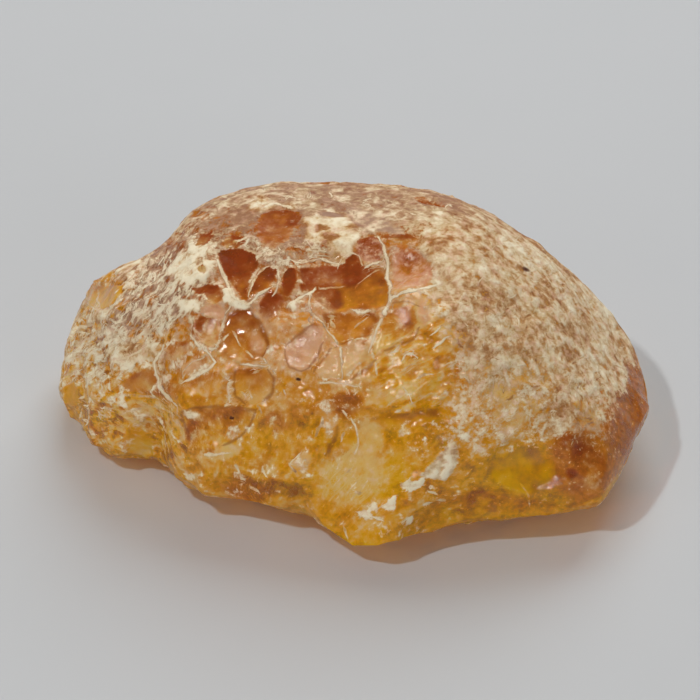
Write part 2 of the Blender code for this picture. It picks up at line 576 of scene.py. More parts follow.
class Layer(Enum):
    """What every point of the skin has a level of, as the name of the mesh's attribute.

    Crust to soot run from 0 to 1. Grit is the strength of the fine grain, usually 1, and strands are how far
    the grain follows the streaks. The vein side is the distance from the nearest hairline in half widths,
    below 0 on one side, and vein near is how white the hairline is, or how brown below 0.
    """

    CRUST = "crust"
    CHALK = "chalk"
    TONE = "tone"
    HAZE = "haze"
    MAUVE = "mauve"
    SOOT = "soot"
    GRIT = "grit"
    STRANDS = "strands"
    VEIN_SIDE = "vein_side"
    VEIN_NEAR = "vein_near"


@dataclass(frozen=True)
class Patch:
    """An area of the skin with an outline in picture pixels, and the levels that it has.

    Tone runs from 0, yellow, to 1, deep red. A cut is how far a facet is sunk, in millimetres.
    """

    outline: Line
    tone: float = 0.5
    haze: float = 0.2
    mauve: float = 0.0
    crust: float = 0.05
    chalk: float = 0.0
    cut: float = 0.05
    soft: float = 1.6
    rim: float = 0.5


@dataclass(frozen=True)
class Spot:
    """A soft oval on the skin, in picture pixels, that pulls layers towards the levels it gives."""

    u: float
    v: float
    long: float
    short: float
    turn: float = 0.0
    soft: float = 0.35
    crust: float | None = None
    chalk: float | None = None
    tone: float | None = None
    haze: float | None = None
    mauve: float | None = None
    soot: float | None = None
    grit: float | None = None

    def levels(self) -> dict[Layer, float]:
        """The levels that are given, by layer."""
        given = {layer: getattr(self, layer.value, None) for layer in Layer}
        return {layer: level for layer, level in given.items() if level is not None}


@dataclass(frozen=True)
class Zone:
    """A soft oval on the skin, in picture pixels, where something is done to it more or less strongly."""

    u: float
    v: float
    long: float
    short: float
    strength: float
    turn: float = 0.0
    soft: float = 0.35


@dataclass(frozen=True)
class Streaks:
    """Noise drawn out along lines from a hub, or round it, within a soft oval, in picture pixels.

    Attributes:
        hub: Where the lines come from, or what they go round.
        width: How far apart streaks are.
        length: How long they are.
        gives: How far each layer moves up or down with the noise.
        relief: How far the skin moves out or in with it, in millimetres.
        round_hub: Whether the lines go round the hub.
        flecks: How strongly the palest splinters are frosted with chalk.
    """

    u: float
    v: float
    long: float
    short: float
    turn: float
    hub: tuple[float, float]
    width: float
    length: float
    gives: tuple[tuple[Layer, float], ...]
    relief: float = 0.1
    round_hub: bool = False
    flecks: float = 0.0
    soft: float = 0.4


@dataclass(frozen=True)
class Vein:
    """A hairline in picture pixels: chalk in a crack, a white line that is a painted highlight, or a brown
    crease if its level is below 0.
    """

    line: Line
    width: float
    level: float = 1.0


@dataclass(frozen=True)
class Edge:
    """A broken line in picture pixels that pulls layers towards levels of its own."""

    line: Line
    width: float
    strength: float
    gives: tuple[tuple[Layer, float], ...]


@dataclass(frozen=True)
class Worms:
    """Short bent marks scattered over an oval, in picture pixels, as worn borings leave them.

    Attributes:
        heading: Degrees below the picture's right that the marks run, within the spread.
        level: How white they are, or how brown below 0.
        bend: The most that a mark turns at each of its pieces, either way.
        pieces: How many straight pieces a mark has.
        lengths: The least and the greatest share of the length.
        levels: The least and the greatest share of the level.
    """

    u: float
    v: float
    long: float
    short: float
    turn: float
    count: int
    heading: float
    spread: float
    length: float
    width: float
    level: float
    bend: float = 0.6
    pieces: int = 3
    lengths: tuple[float, float] = (0.5, 1.3)
    levels: tuple[float, float] = (0.7, 1.15)

    def marks(self, draw: np.random.Generator) -> list[Vein]:
        """The marks, at places and with bends drawn at random.

        Args:
            draw: The source of random numbers.

        Returns:
            One short line of four pixels for each mark.
        """
        marks = []
        turn = math.radians(self.turn)
        for _ in range(self.count):
            out = math.sqrt(draw.uniform())
            angle = draw.uniform(0.0, math.tau)
            du = self.long * out * math.cos(angle)
            dv = self.short * out * math.sin(angle)
            u = self.u + du * math.cos(turn) - dv * math.sin(turn)
            v = self.v + du * math.sin(turn) + dv * math.cos(turn)
            heading = math.radians(self.heading + draw.uniform(-self.spread, self.spread))
            bend = draw.uniform(-self.bend, self.bend)
            step = self.length * draw.uniform(*self.lengths) / self.pieces
            line = [(u, v)]
            for _ in range(self.pieces):
                u += step * math.cos(heading)
                v += step * math.sin(heading)
                heading += bend
                line.append((u, v))
            marks.append(Vein(tuple(line), self.width, self.level * draw.uniform(*self.levels)))
        return marks


# Broad areas of the skin, as the picture shows them, painted over each other in this order
AREAS = (
    # The belt of golden resin low on the front
    Spot(330, 455, 250, 75, 6, crust=0.04, chalk=0.5),
    Spot(330, 465, 260, 80, 6, tone=0.3),
    Spot(330, 455, 240, 80, 6, haze=0.45),
    Spot(330, 465, 260, 90, 6, mauve=0.1),
    # The worn middle, with its windows
    Spot(315, 285, 150, 80, 0, 0.25, crust=0.5, chalk=0.35),
    Spot(315, 360, 130, 45, 0, 0.4, crust=0.22),
    Spot(300, 270, 130, 70, 0, 0.5, tone=0.75),
    Spot(310, 370, 150, 50, 0, 0.5, tone=0.5),
    Spot(300, 310, 130, 90, 0, 0.5, haze=0.8),
    Spot(280, 310, 110, 80, 0, 0.5, mauve=0.6),
    # The golden hollow to the right of the middle
    Spot(415, 375, 48, 75, 0, 0.7, crust=0.06),
    Spot(420, 375, 50, 60, 0, 0.4, tone=0.3),
    Spot(415, 300, 26, 30, 0, 0.4, tone=0.5),
    Spot(420, 365, 55, 70, 0, 0.4, mauve=0.1),
    # The left lobe
    Spot(100, 360, 60, 75, 0, 0.4, crust=0.45),
    Spot(100, 350, 60, 75, 0, 0.4, chalk=0.5),
    Spot(100, 370, 65, 100, 0, 0.4, tone=0.36),
    Spot(100, 370, 65, 80, 0, 0.4, haze=0.6),
    Spot(130, 425, 80, 38, 14, 0.4, crust=0.1, haze=0.46),
    # The worm-eaten slope between the lobe and the top
    Spot(155, 300, 30, 80, 42, 0.4, crust=0.75, chalk=0.58),
    Spot(155, 290, 30, 80, 42, 0.4, mauve=0.7),
    Spot(150, 305, 36, 80, 42, 0.4, grit=3.8),
    Spot(95, 350, 45, 60, 0, 0.4, grit=3),
    Spot(130, 425, 80, 34, 14, 0.4, grit=2),
    # The crust between the highest windows
    Spot(262, 249, 66, 16, 5, 0.4, crust=0.72, chalk=0.5),
    Spot(262, 240, 72, 30, 5, 0.4, grit=2.9),
    # The streaked top
    Spot(330, 198, 165, 30, 2, 0.4, crust=0.85, chalk=0.4),
    Spot(300, 203, 155, 30, 2, 0.5, mauve=0.62),
    Spot(320, 205, 150, 30, 2, 0.4, grit=1.6),
    # The speckled right of the dome
    Spot(560, 330, 112, 118, 20, 0.18, crust=0.86),
    Spot(500, 260, 75, 70, 20, 0.3, crust=0.86),
    Spot(490, 415, 65, 45, -20, 0.5, crust=0.54),
    Spot(550, 320, 120, 120, 20, 0.3, chalk=0.49),
    Spot(590, 300, 20, 60, -40, 0.6, chalk=0.62),
    Spot(600, 390, 30, 34, 0, 0.6, chalk=0.62),
    Spot(500, 400, 60, 36, 0, 0.6, chalk=0.5),
    Spot(530, 255, 32, 12, 35, 0.6, chalk=0.7),
    Spot(560, 340, 130, 120, 20, 0.5, mauve=0.05),
    Spot(540, 340, 110, 110, 20, 0.5, tone=0.45),
    Spot(600, 420, 60, 60, 20, 0.5, tone=0.6),
    Spot(550, 340, 120, 120, 20, 0.5, haze=0.85),
    Spot(500, 405, 60, 36, 0, 0.5, grit=1.1),
    Spot(600, 440, 40, 46, 20, 0.6, crust=0.48),
    Spot(600, 440, 40, 50, 20, 0.5, chalk=0.35),
    Spot(590, 440, 26, 16, 20, 0.5, mauve=0.5),
    Spot(636, 415, 18, 65, 12, 0.6, crust=0.04),
    Spot(632, 415, 22, 70, 12, 0.5, tone=0.66),
    Spot(632, 415, 26, 75, 12, 0.5, haze=0.24),
    # The yellow corner low on the right
    Spot(540, 480, 75, 34, -8, 0.4, crust=0.08, haze=0.3),
    Spot(525, 480, 60, 34, -8, 0.4, tone=0.12),
    Spot(590, 470, 34, 34, 0, 0.4, tone=0.55),
)

# Where the resin is shattered into shards of uneven haze with frosted ridges, and how strongly
SHATTERED = (
    Zone(250, 350, 110, 75, 0.45, 0, 0.4),
    Zone(400, 340, 60, 60, 0.42, 0, 0.4),
    Zone(110, 360, 70, 80, 0.9, 0, 0.4),
    Zone(125, 428, 80, 32, 1, 14, 0.4),
    Zone(360, 465, 170, 60, 0.4, 0, 0.4),
    Zone(220, 450, 100, 50, 0.3, 20, 0.4),
)

# Where the skin is worn smooth, and how far
SMOOTHED = (
    Zone(400, 475, 240, 80, 0.6, 0, 0.3),
    Zone(625, 430, 50, 80, 0.8, 0, 0.4),
)

# Streaks, painted in this order
STREAKS = (
    Streaks(560, 330, 125, 140, 20, (400, 500), 3.2, 4.2,
            ((Layer.CHALK, 0.15), (Layer.CRUST, 0.1)), 0.04, True),
    Streaks(330, 200, 175, 30, 2, (340, 760), 3, 9,
            ((Layer.CHALK, 0.13), (Layer.CRUST, 0.1), (Layer.MAUVE, -0.2)), 0.04, True),
    Streaks(140, 315, 100, 48, 128, (500, -130), 2.7, 8,
            ((Layer.CHALK, 0.45), (Layer.CRUST, 0.25), (Layer.MAUVE, -0.3)), 0.06),
    Streaks(95, 380, 55, 60, 0, (300, 200), 4, 12,
            ((Layer.CHALK, 0.45), (Layer.CRUST, 0.45), (Layer.HAZE, 0.4)), 0.06, flecks=0.5),
    Streaks(140, 425, 80, 30, 12, (-300, 330), 4, 9,
            ((Layer.HAZE, 0.5), (Layer.TONE, -0.3), (Layer.CRUST, 0.1)), 0.04, flecks=0.5),
    Streaks(240, 380, 80, 50, 0, (100, 700), 4, 7,
            ((Layer.HAZE, 0.25), (Layer.TONE, -0.15), (Layer.CRUST, 0.1)), 0.04, flecks=0.2),
    Streaks(280, 455, 130, 55, 12, (225, 600), 4, 8,
            ((Layer.HAZE, 0.3), (Layer.TONE, -0.15)), 0.04, flecks=0.15),
    Streaks(370, 480, 80, 55, 0, (290, 580), 3.2, 12,
            ((Layer.HAZE, 0.3), (Layer.TONE, -0.1)), 0.04, flecks=0.15),
    Streaks(415, 370, 55, 62, 0, (150, 480), 3.6, 13,
            ((Layer.HAZE, 0.5), (Layer.TONE, -0.25), (Layer.CRUST, 0.08)), 0.05, flecks=0.35),
    Streaks(450, 480, 70, 40, -10, (0, 560), 4, 7,
            ((Layer.HAZE, 0.3), (Layer.CRUST, 0.1)), 0.04, flecks=0.25),
)

# Clear windows, painted in this order
WINDOWS = (
    Patch(((218, 250), (230, 247), (246, 248), (256, 252), (259, 264), (253, 272), (248, 280), (246, 290),
          (249, 298), (243, 299), (236, 290), (227, 280), (221, 264)), 0.96, 0.1, 0, cut=0.25),
    Patch(((249, 292), (251, 280), (258, 271), (268, 265), (276, 268), (275, 279), (269, 286), (258, 293),
          (252, 299)), 0.8, 0.15),
    Patch(((283, 272), (289, 266), (296, 267), (297, 278), (294, 289), (288, 298), (281, 299), (281, 286)),
          1, 0.12, rim=0.2),
    Patch(((259, 304), (268, 292), (280, 293), (284, 300), (279, 310), (272, 317), (263, 322), (258, 314)),
          0.9, 0.4, 0.6, rim=0.1, cut=0),
    Patch(((300, 283), (305, 282), (305, 290), (301, 293)), 0.9, 0.1),
    Patch(((194, 288), (206, 284), (217, 285), (222, 290), (221, 300), (215, 305), (208, 302), (205, 295),
          (197, 293)), 0.85, 0.2),
    Patch(((194, 243), (203, 233), (212, 228), (213, 235), (208, 243), (201, 249), (196, 247)),
          0.85, 0.25),
    Patch(((223, 242), (232, 235), (243, 234), (247, 240), (241, 245), (229, 247)), 0.9, 0.3),
    Patch(((261, 212), (274, 208), (291, 209), (301, 216), (304, 224), (294, 230), (287, 240), (275, 247),
          (262, 245), (258, 233)), 0.8, 0.38, 0.6, crust=0.15, soft=3, rim=0.2, cut=0),
    Patch(((201, 307), (215, 304), (225, 310), (225, 320), (215, 318), (203, 316)), 0.6, 0.8, 0.8),
    Patch(((193, 321), (203, 317), (215, 319), (223, 326), (222, 336), (215, 345), (208, 348), (198, 340),
          (192, 331)), 0.75, 0.45, 0.3, cut=0),
    Patch(((229, 314), (237, 309), (248, 310), (258, 321), (266, 335), (267, 347), (263, 355), (255, 361),
          (241, 363), (229, 360), (218, 350), (223, 338), (225, 326)), 0.72, 0.3, 0.2, cut=0.05),
    Patch(((170, 345), (180, 340), (189, 341), (191, 348), (181, 355), (170, 362), (163, 359), (165, 350)),
          0.6, 0.6, 0.5, soft=3),
    Patch(((181, 366), (191, 359), (205, 357), (208, 360), (198, 369), (187, 376), (181, 378)),
          0.6, 0.65, 0.6, soft=2.5),
    Patch(((181, 386), (194, 378), (208, 372), (222, 374), (225, 385), (220, 395), (203, 397), (186, 395)),
          0.5, 0.5, 0.4, soft=2.5),
    Patch(((236, 370), (249, 368), (267, 369), (273, 378), (272, 393), (263, 402), (245, 404), (234, 398)),
          0.55, 0.4, 0.2, cut=0.1, soft=2.4, rim=0.15),
    Patch(((122, 384), (130, 375), (140, 369), (153, 368), (155, 378), (152, 388), (140, 391), (126, 391)),
          0.66, 0.42, soft=3.6, rim=0.2),
    Patch(((89, 293), (95, 285), (110, 284), (124, 286), (118, 297), (108, 307), (96, 310), (86, 309),
          (85, 300)), 0.2, 0.26),
    Patch(((300, 268), (322, 264), (337, 266), (343, 257), (351, 251), (359, 255), (363, 268), (383, 266),
          (388, 285), (387, 305), (360, 311), (330, 313), (319, 300), (304, 284)), 0.85, 0.3, 0.3, rim=0,
          cut=0.1, soft=2.5),
    Patch(((340, 267), (343, 259), (350, 253), (357, 255), (361, 262), (362, 271), (355, 280), (341, 280)),
          0.95, 0.15, soft=3, rim=0, cut=0.05),
    Patch(((300, 268), (314, 266), (331, 268), (341, 268), (341, 280), (328, 283), (311, 281), (302, 276)),
          0.9, 0.4, 0.6, soft=3.5, rim=0, cut=0),
    Patch(((335, 288), (355, 281), (372, 274), (381, 271), (387, 280), (388, 293), (386, 304), (372, 307),
          (352, 309), (338, 311), (333, 300)), 0.58, 0.1, soft=3.5, rim=0, cut=0.1),
    Patch(((322, 316), (340, 313), (358, 315), (374, 313), (379, 321), (369, 333), (355, 340), (342, 347),
          (333, 338), (324, 326)), 0.6, 0.35, 0.2, soft=2.5, rim=0.3, cut=0.1),
    Patch(((355, 240), (372, 235), (381, 240), (385, 248), (381, 259), (369, 266), (361, 262), (355, 254)),
          1, 0.55, 0.9, rim=0.2),
    Patch(((393, 255), (403, 250), (417, 255), (431, 266), (434, 276), (428, 285), (410, 288), (395, 291),
          (390, 283), (391, 266)), 0.68, 0.6, 1, soft=4.5, rim=0.2, cut=0),
    Patch(((385, 317), (393, 309), (407, 305), (417, 310), (419, 324), (414, 336), (397, 345), (383, 350),
          (373, 355), (376, 341)), 0.5, 0.45, cut=0, soft=2.5, rim=0.2),
    Patch(((286, 345), (297, 336), (314, 324), (324, 328), (323, 341), (316, 355), (309, 367), (300, 371),
          (288, 367), (285, 355)), 0.65, 0.8, 0.8, cut=0.1, soft=2.5, rim=0.2),
    Patch(((316, 372), (328, 355), (338, 348), (341, 362), (338, 376), (324, 378)), 0.45, 0.9, 0.5,
          soft=2.5),
    Patch(((342, 347), (354, 340), (367, 340), (367, 352), (357, 364), (350, 372), (343, 376)),
          0.45, 0.85, 0.4, soft=2.5),
    Patch(((374, 372), (385, 358), (402, 352), (421, 350), (440, 355), (441, 375), (437, 392), (415, 398),
          (390, 400), (377, 390)), 0.32, 0.36, soft=5, rim=0.15),
    Patch(((384, 236), (397, 234), (412, 237), (416, 240), (398, 241)), 0.95, 0.4, rim=0.1, cut=0),
    Patch(((333, 398), (340, 394), (352, 393), (362, 399), (366, 411), (358, 421), (345, 420), (336, 412)),
          0.45, 0.05, soft=4, rim=0),
    Patch(((343, 440), (349, 433), (356, 437), (357, 446), (348, 449)), 0.15, 0.3, soft=3, rim=0),
    Patch(((179, 414), (193, 410), (211, 410), (237, 410), (255, 412), (252, 425), (239, 437), (220, 446),
          (198, 442), (186, 441), (180, 430)), 0.5, 0.3, cut=0.1, soft=5, rim=0.2),
    Patch(((121, 440), (128, 428), (142, 424), (152, 436), (152, 452), (140, 457), (127, 453)), 0.1, 0.3,
          soft=3, rim=0.2),
    Patch(((64, 400), (66, 386), (74, 382), (80, 390), (80, 402), (72, 408)), 0.25, 0.2),
    Patch(((490, 466), (494, 460), (510, 455), (520, 447), (539, 448), (544, 459), (555, 466), (558, 474),
          (550, 484), (534, 491), (526, 495), (515, 491), (496, 482), (491, 474)), 0.08, 0.1, cut=0.15,
          rim=0.1, soft=2.5),
    Patch(((430, 505), (450, 498), (475, 490), (500, 492), (540, 500), (560, 508), (548, 516), (510, 512),
          (470, 518), (440, 523)), 0.35, 0.12, cut=0.05, soft=5, rim=0),
    Patch(((551, 446), (560, 440), (570, 434), (590, 440), (604, 450), (606, 470), (598, 487), (580, 494),
          (565, 492), (556, 478)), 0.72, 0.22, crust=0.06, cut=0, soft=10, rim=0),
    Patch(((320, 470), (330, 455), (345, 450), (370, 455), (388, 462), (393, 478), (385, 495), (365, 505),
          (345, 503), (328, 492)), 0.2, 0.5, cut=0.05, soft=9, rim=0),
    Patch(((382, 445), (398, 438), (415, 445), (420, 465), (412, 480), (404, 490), (392, 495), (388, 478),
          (392, 462)), 0.15, 0.45, soft=6, rim=0.1),
    Patch(((365, 395), (372, 386), (385, 385), (394, 390), (392, 400), (380, 406), (368, 404)),
          0.3, 0.65, 0.2, soft=5, rim=0),
    Patch(((372, 420), (390, 415), (410, 416), (437, 411), (440, 418), (415, 424), (395, 428), (378, 430)),
          0.45, 0.25, soft=3.5, rim=0),
    Patch(((262, 415), (280, 412), (300, 415), (312, 425), (308, 440), (290, 452), (275, 470), (262, 478),
          (250, 470), (256, 440)), 0.36, 0.25, cut=0.05, soft=7, rim=0.1),
    Patch(((241, 490), (250, 482), (262, 486), (268, 496), (262, 505), (248, 503)), 0.35, 0.25, soft=4,
          rim=0),
    Patch(((419, 475), (428, 466), (436, 458), (446, 449), (457, 447), (457, 462), (453, 472), (446, 481),
          (434, 478)), 0.1, 0.9, 0.3, crust=0.9, soft=2.6, rim=0, cut=0),
)

# Chalky patches, painted in this order
CHALKS = (
    Patch(((166, 275), (178, 258), (190, 246), (200, 244), (205, 252), (196, 259), (210, 262), (214, 272),
          (205, 280), (190, 284), (175, 281)), crust=1, chalk=1.1, cut=0, soft=3),
    Patch(((178, 300), (186, 298), (197, 300), (198, 308), (190, 313), (181, 309)), crust=1, chalk=0.9,
          cut=0),
    Patch(((304, 222), (315, 216), (330, 214), (345, 218), (358, 226), (356, 240), (350, 252), (344, 264),
          (336, 262), (330, 250), (318, 244), (306, 240)), crust=0.95, chalk=0.75, cut=0, soft=3),
    Patch(((246, 207), (258, 199), (270, 194), (272, 202), (290, 204), (293, 209), (275, 207), (262, 211),
          (250, 213)), crust=0.9, chalk=0.62, cut=0, soft=3),
    Patch(((106, 352), (118, 345), (135, 341), (150, 342), (158, 350), (150, 360), (130, 363), (112, 361)),
          crust=0.95, chalk=0.65, cut=0, soft=4),
    Patch(((322, 400), (329, 397), (333, 408), (334, 420), (330, 436), (324, 436), (322, 420)), crust=0.52,
          chalk=0.72, mauve=0.5, cut=0, soft=2),
    Patch(((290, 462), (300, 452), (312, 450), (314, 462), (306, 474), (294, 472)), crust=0.5, chalk=0.8,
          mauve=0.3, cut=0, soft=3),
    Patch(((432, 474), (438, 466), (446, 458), (450, 466), (446, 477), (439, 479)), crust=0.75, chalk=0.98,
          mauve=0.4, cut=0, soft=4),
    Patch(((371, 508), (380, 503), (392, 501), (393, 507), (385, 512), (375, 512)), crust=0.9, chalk=0.8,
          cut=0, soft=2),
    Patch(((360, 514), (368, 512), (371, 518), (364, 522)), crust=0.95, chalk=0.95, cut=0),
    Patch(((404, 518), (412, 515), (416, 522), (408, 526)), crust=0.95, chalk=0.95, cut=0),
    Patch(((182, 414), (190, 411), (196, 417), (192, 423), (184, 421)), crust=0.7, chalk=0.8, cut=0,
          soft=3),
    Patch(((226, 430), (236, 425), (243, 430), (238, 438), (228, 438)), crust=0.6, chalk=0.7, mauve=0.5,
          cut=0, soft=2),
    Patch(((184, 473), (196, 470), (206, 473), (202, 478), (188, 478)), crust=0.9, chalk=0.85, cut=0),
    Patch(((82, 314), (92, 311), (103, 313), (100, 320), (86, 321)), crust=0.9, chalk=0.8, cut=0),
    Patch(((110, 270), (122, 261), (139, 257), (140, 264), (128, 272)), crust=0.9, chalk=0.65, cut=0,
          soft=2.5),
    Patch(((394, 430), (400, 426), (407, 430), (405, 438), (396, 439)), crust=0.5, chalk=0.7, cut=0,
          soft=2.5),
    Patch(((401, 484), (408, 479), (423, 483), (420, 488), (405, 488)), crust=0.95, chalk=0.85, cut=0),
    Patch(((284, 305), (292, 298), (298, 300), (292, 308)), crust=1, chalk=1, cut=0),
    Patch(((346, 210), (360, 208), (372, 210), (384, 217), (395, 225), (406, 233), (398, 236), (388, 236),
          (377, 233), (366, 229), (357, 223), (349, 216)), crust=0.95, chalk=0.62, mauve=1, soft=2),
    Patch(((223, 290), (229, 289), (236, 297), (246, 303), (244, 308), (234, 307), (226, 300)), crust=0.9,
          chalk=1, cut=0, soft=1.2),
)

# Small marks inside windows and patches, one painted highlight, and the belt's own uneven colour
MARKS = (
    Spot(246, 490, 26, 13, 12, 0.5, tone=0.58, haze=0.35),
    Spot(285, 488, 30, 9, 10, 0.5, haze=0.12),
    Spot(392, 478, 14, 20, 0, 0.5, haze=0.35, tone=0.05),
    Spot(360, 532, 24, 12, 0, 0.5, tone=0.2, haze=0.55),
    Spot(380, 516, 26, 13, 0, 0.5, haze=0.75),
    Spot(74, 408, 15, 22, 0, 0.5, crust=0.1, tone=0.2, haze=0.36),
    Spot(228, 450, 12, 6, 0, 0.5, haze=0.95),
    Spot(358, 472, 46, 26, -20, 0.5, haze=0.85),
    Spot(372, 438, 12, 18, -25, 0.5, haze=0.9),
    # Painted highlight: a pale pink streak that stands for the lamps' broad glint on the resin
    Spot(423, 311, 5, 14, -16, 0.5, haze=1.4, mauve=0.8),
    Spot(443, 309, 5, 5, 40, 0.5, crust=0.6, chalk=0.8),
    Spot(345, 404, 14, 12, 0, 0.5, tone=0.7),
    Spot(190, 430, 7, 14, 0, 0.5, tone=0.8),
    Spot(160, 388, 22, 10, 0, 0.5, tone=0.7),
    Spot(330, 296, 14, 12, tone=0.95),
    Spot(352, 278, 12, 8, tone=1),
    Spot(256, 342, 7, 11, -25, haze=0.75, mauve=0.7),
    Spot(262, 226, 5, 16, mauve=0.9),
    Spot(281, 228, 24, 20, 0, 0.3, chalk=0.12),
    Spot(314, 256, 30, 9, 0, 0.5, chalk=0.25, crust=0.45),
    Spot(408, 254, 17, 6, 12, mauve=1),
    Spot(331, 236, 9, 4, 10, chalk=0.1),
    Spot(318, 228, 3, 4, chalk=0.2),
    Spot(202, 270, 4, 3.5, chalk=0, crust=0.2),
    Spot(202, 270, 6, 5, tone=0.9),
    Spot(331, 215, 11, 2.5, 8, chalk=0.05, mauve=1),
    Spot(374, 222, 28, 9, 24, grit=0.2),
    Spot(232, 222, 22, 12, -20, mauve=0.45),
    Spot(228, 226, 26, 14, -20, chalk=0.16),
    Spot(571, 473, 5, 5, tone=1),
    Spot(581, 386, 7, 6, crust=0.35),
    Spot(581, 386, 9, 8, tone=0.6),
    Spot(578, 405, 6, 5, crust=0.2),
    Spot(297, 379, 3, 1.6, 20, 0.9, soot=0.8),
    Spot(526, 270, 6, 3.5, 15, 0.9, soot=0.6),
    Spot(164, 387, 2, 4, 0, 0.9, soot=0.6),
    Spot(231, 419, 2, 2, soot=0.8),
    Spot(430, 202, 16, 3, 15, tone=0.9, crust=0.2),
)

# The brown edge of the crust along the upper outline, and a painted glow on the thin lower rim: yellower,
# hazier resin that stands for light coming through the thin edge
DARK_EDGE = ((Layer.CHALK, 0.15), (Layer.CRUST, 0.6), (Layer.TONE, 0.7))
PAINTED_GLOW_RIM = ((Layer.TONE, 0.15), (Layer.HAZE, 0.4), (Layer.CRUST, 0.05), (Layer.MAUVE, 0.0))
EDGES = (
    Edge(((440, 198), (480, 209), (520, 231), (560, 262), (585, 282), (610, 309), (628, 338), (640, 370)),
          3, 0.7, DARK_EDGE),
    Edge(((140, 258), (160, 246), (180, 226), (205, 205), (240, 192)), 2, 0.6, DARK_EDGE),
    # A painted glow along the thin lower rim, where light would come through the resin
    Edge(((60, 418), (72, 434), (90, 442), (110, 450), (130, 457), (160, 458), (175, 478), (190, 488),
          (215, 496), (250, 504), (300, 509), (325, 528), (350, 544), (385, 545), (410, 534), (440, 524),
          (500, 514), (550, 520), (580, 506), (600, 499), (618, 478)), 2.5, 0.9, PAINTED_GLOW_RIM),
)
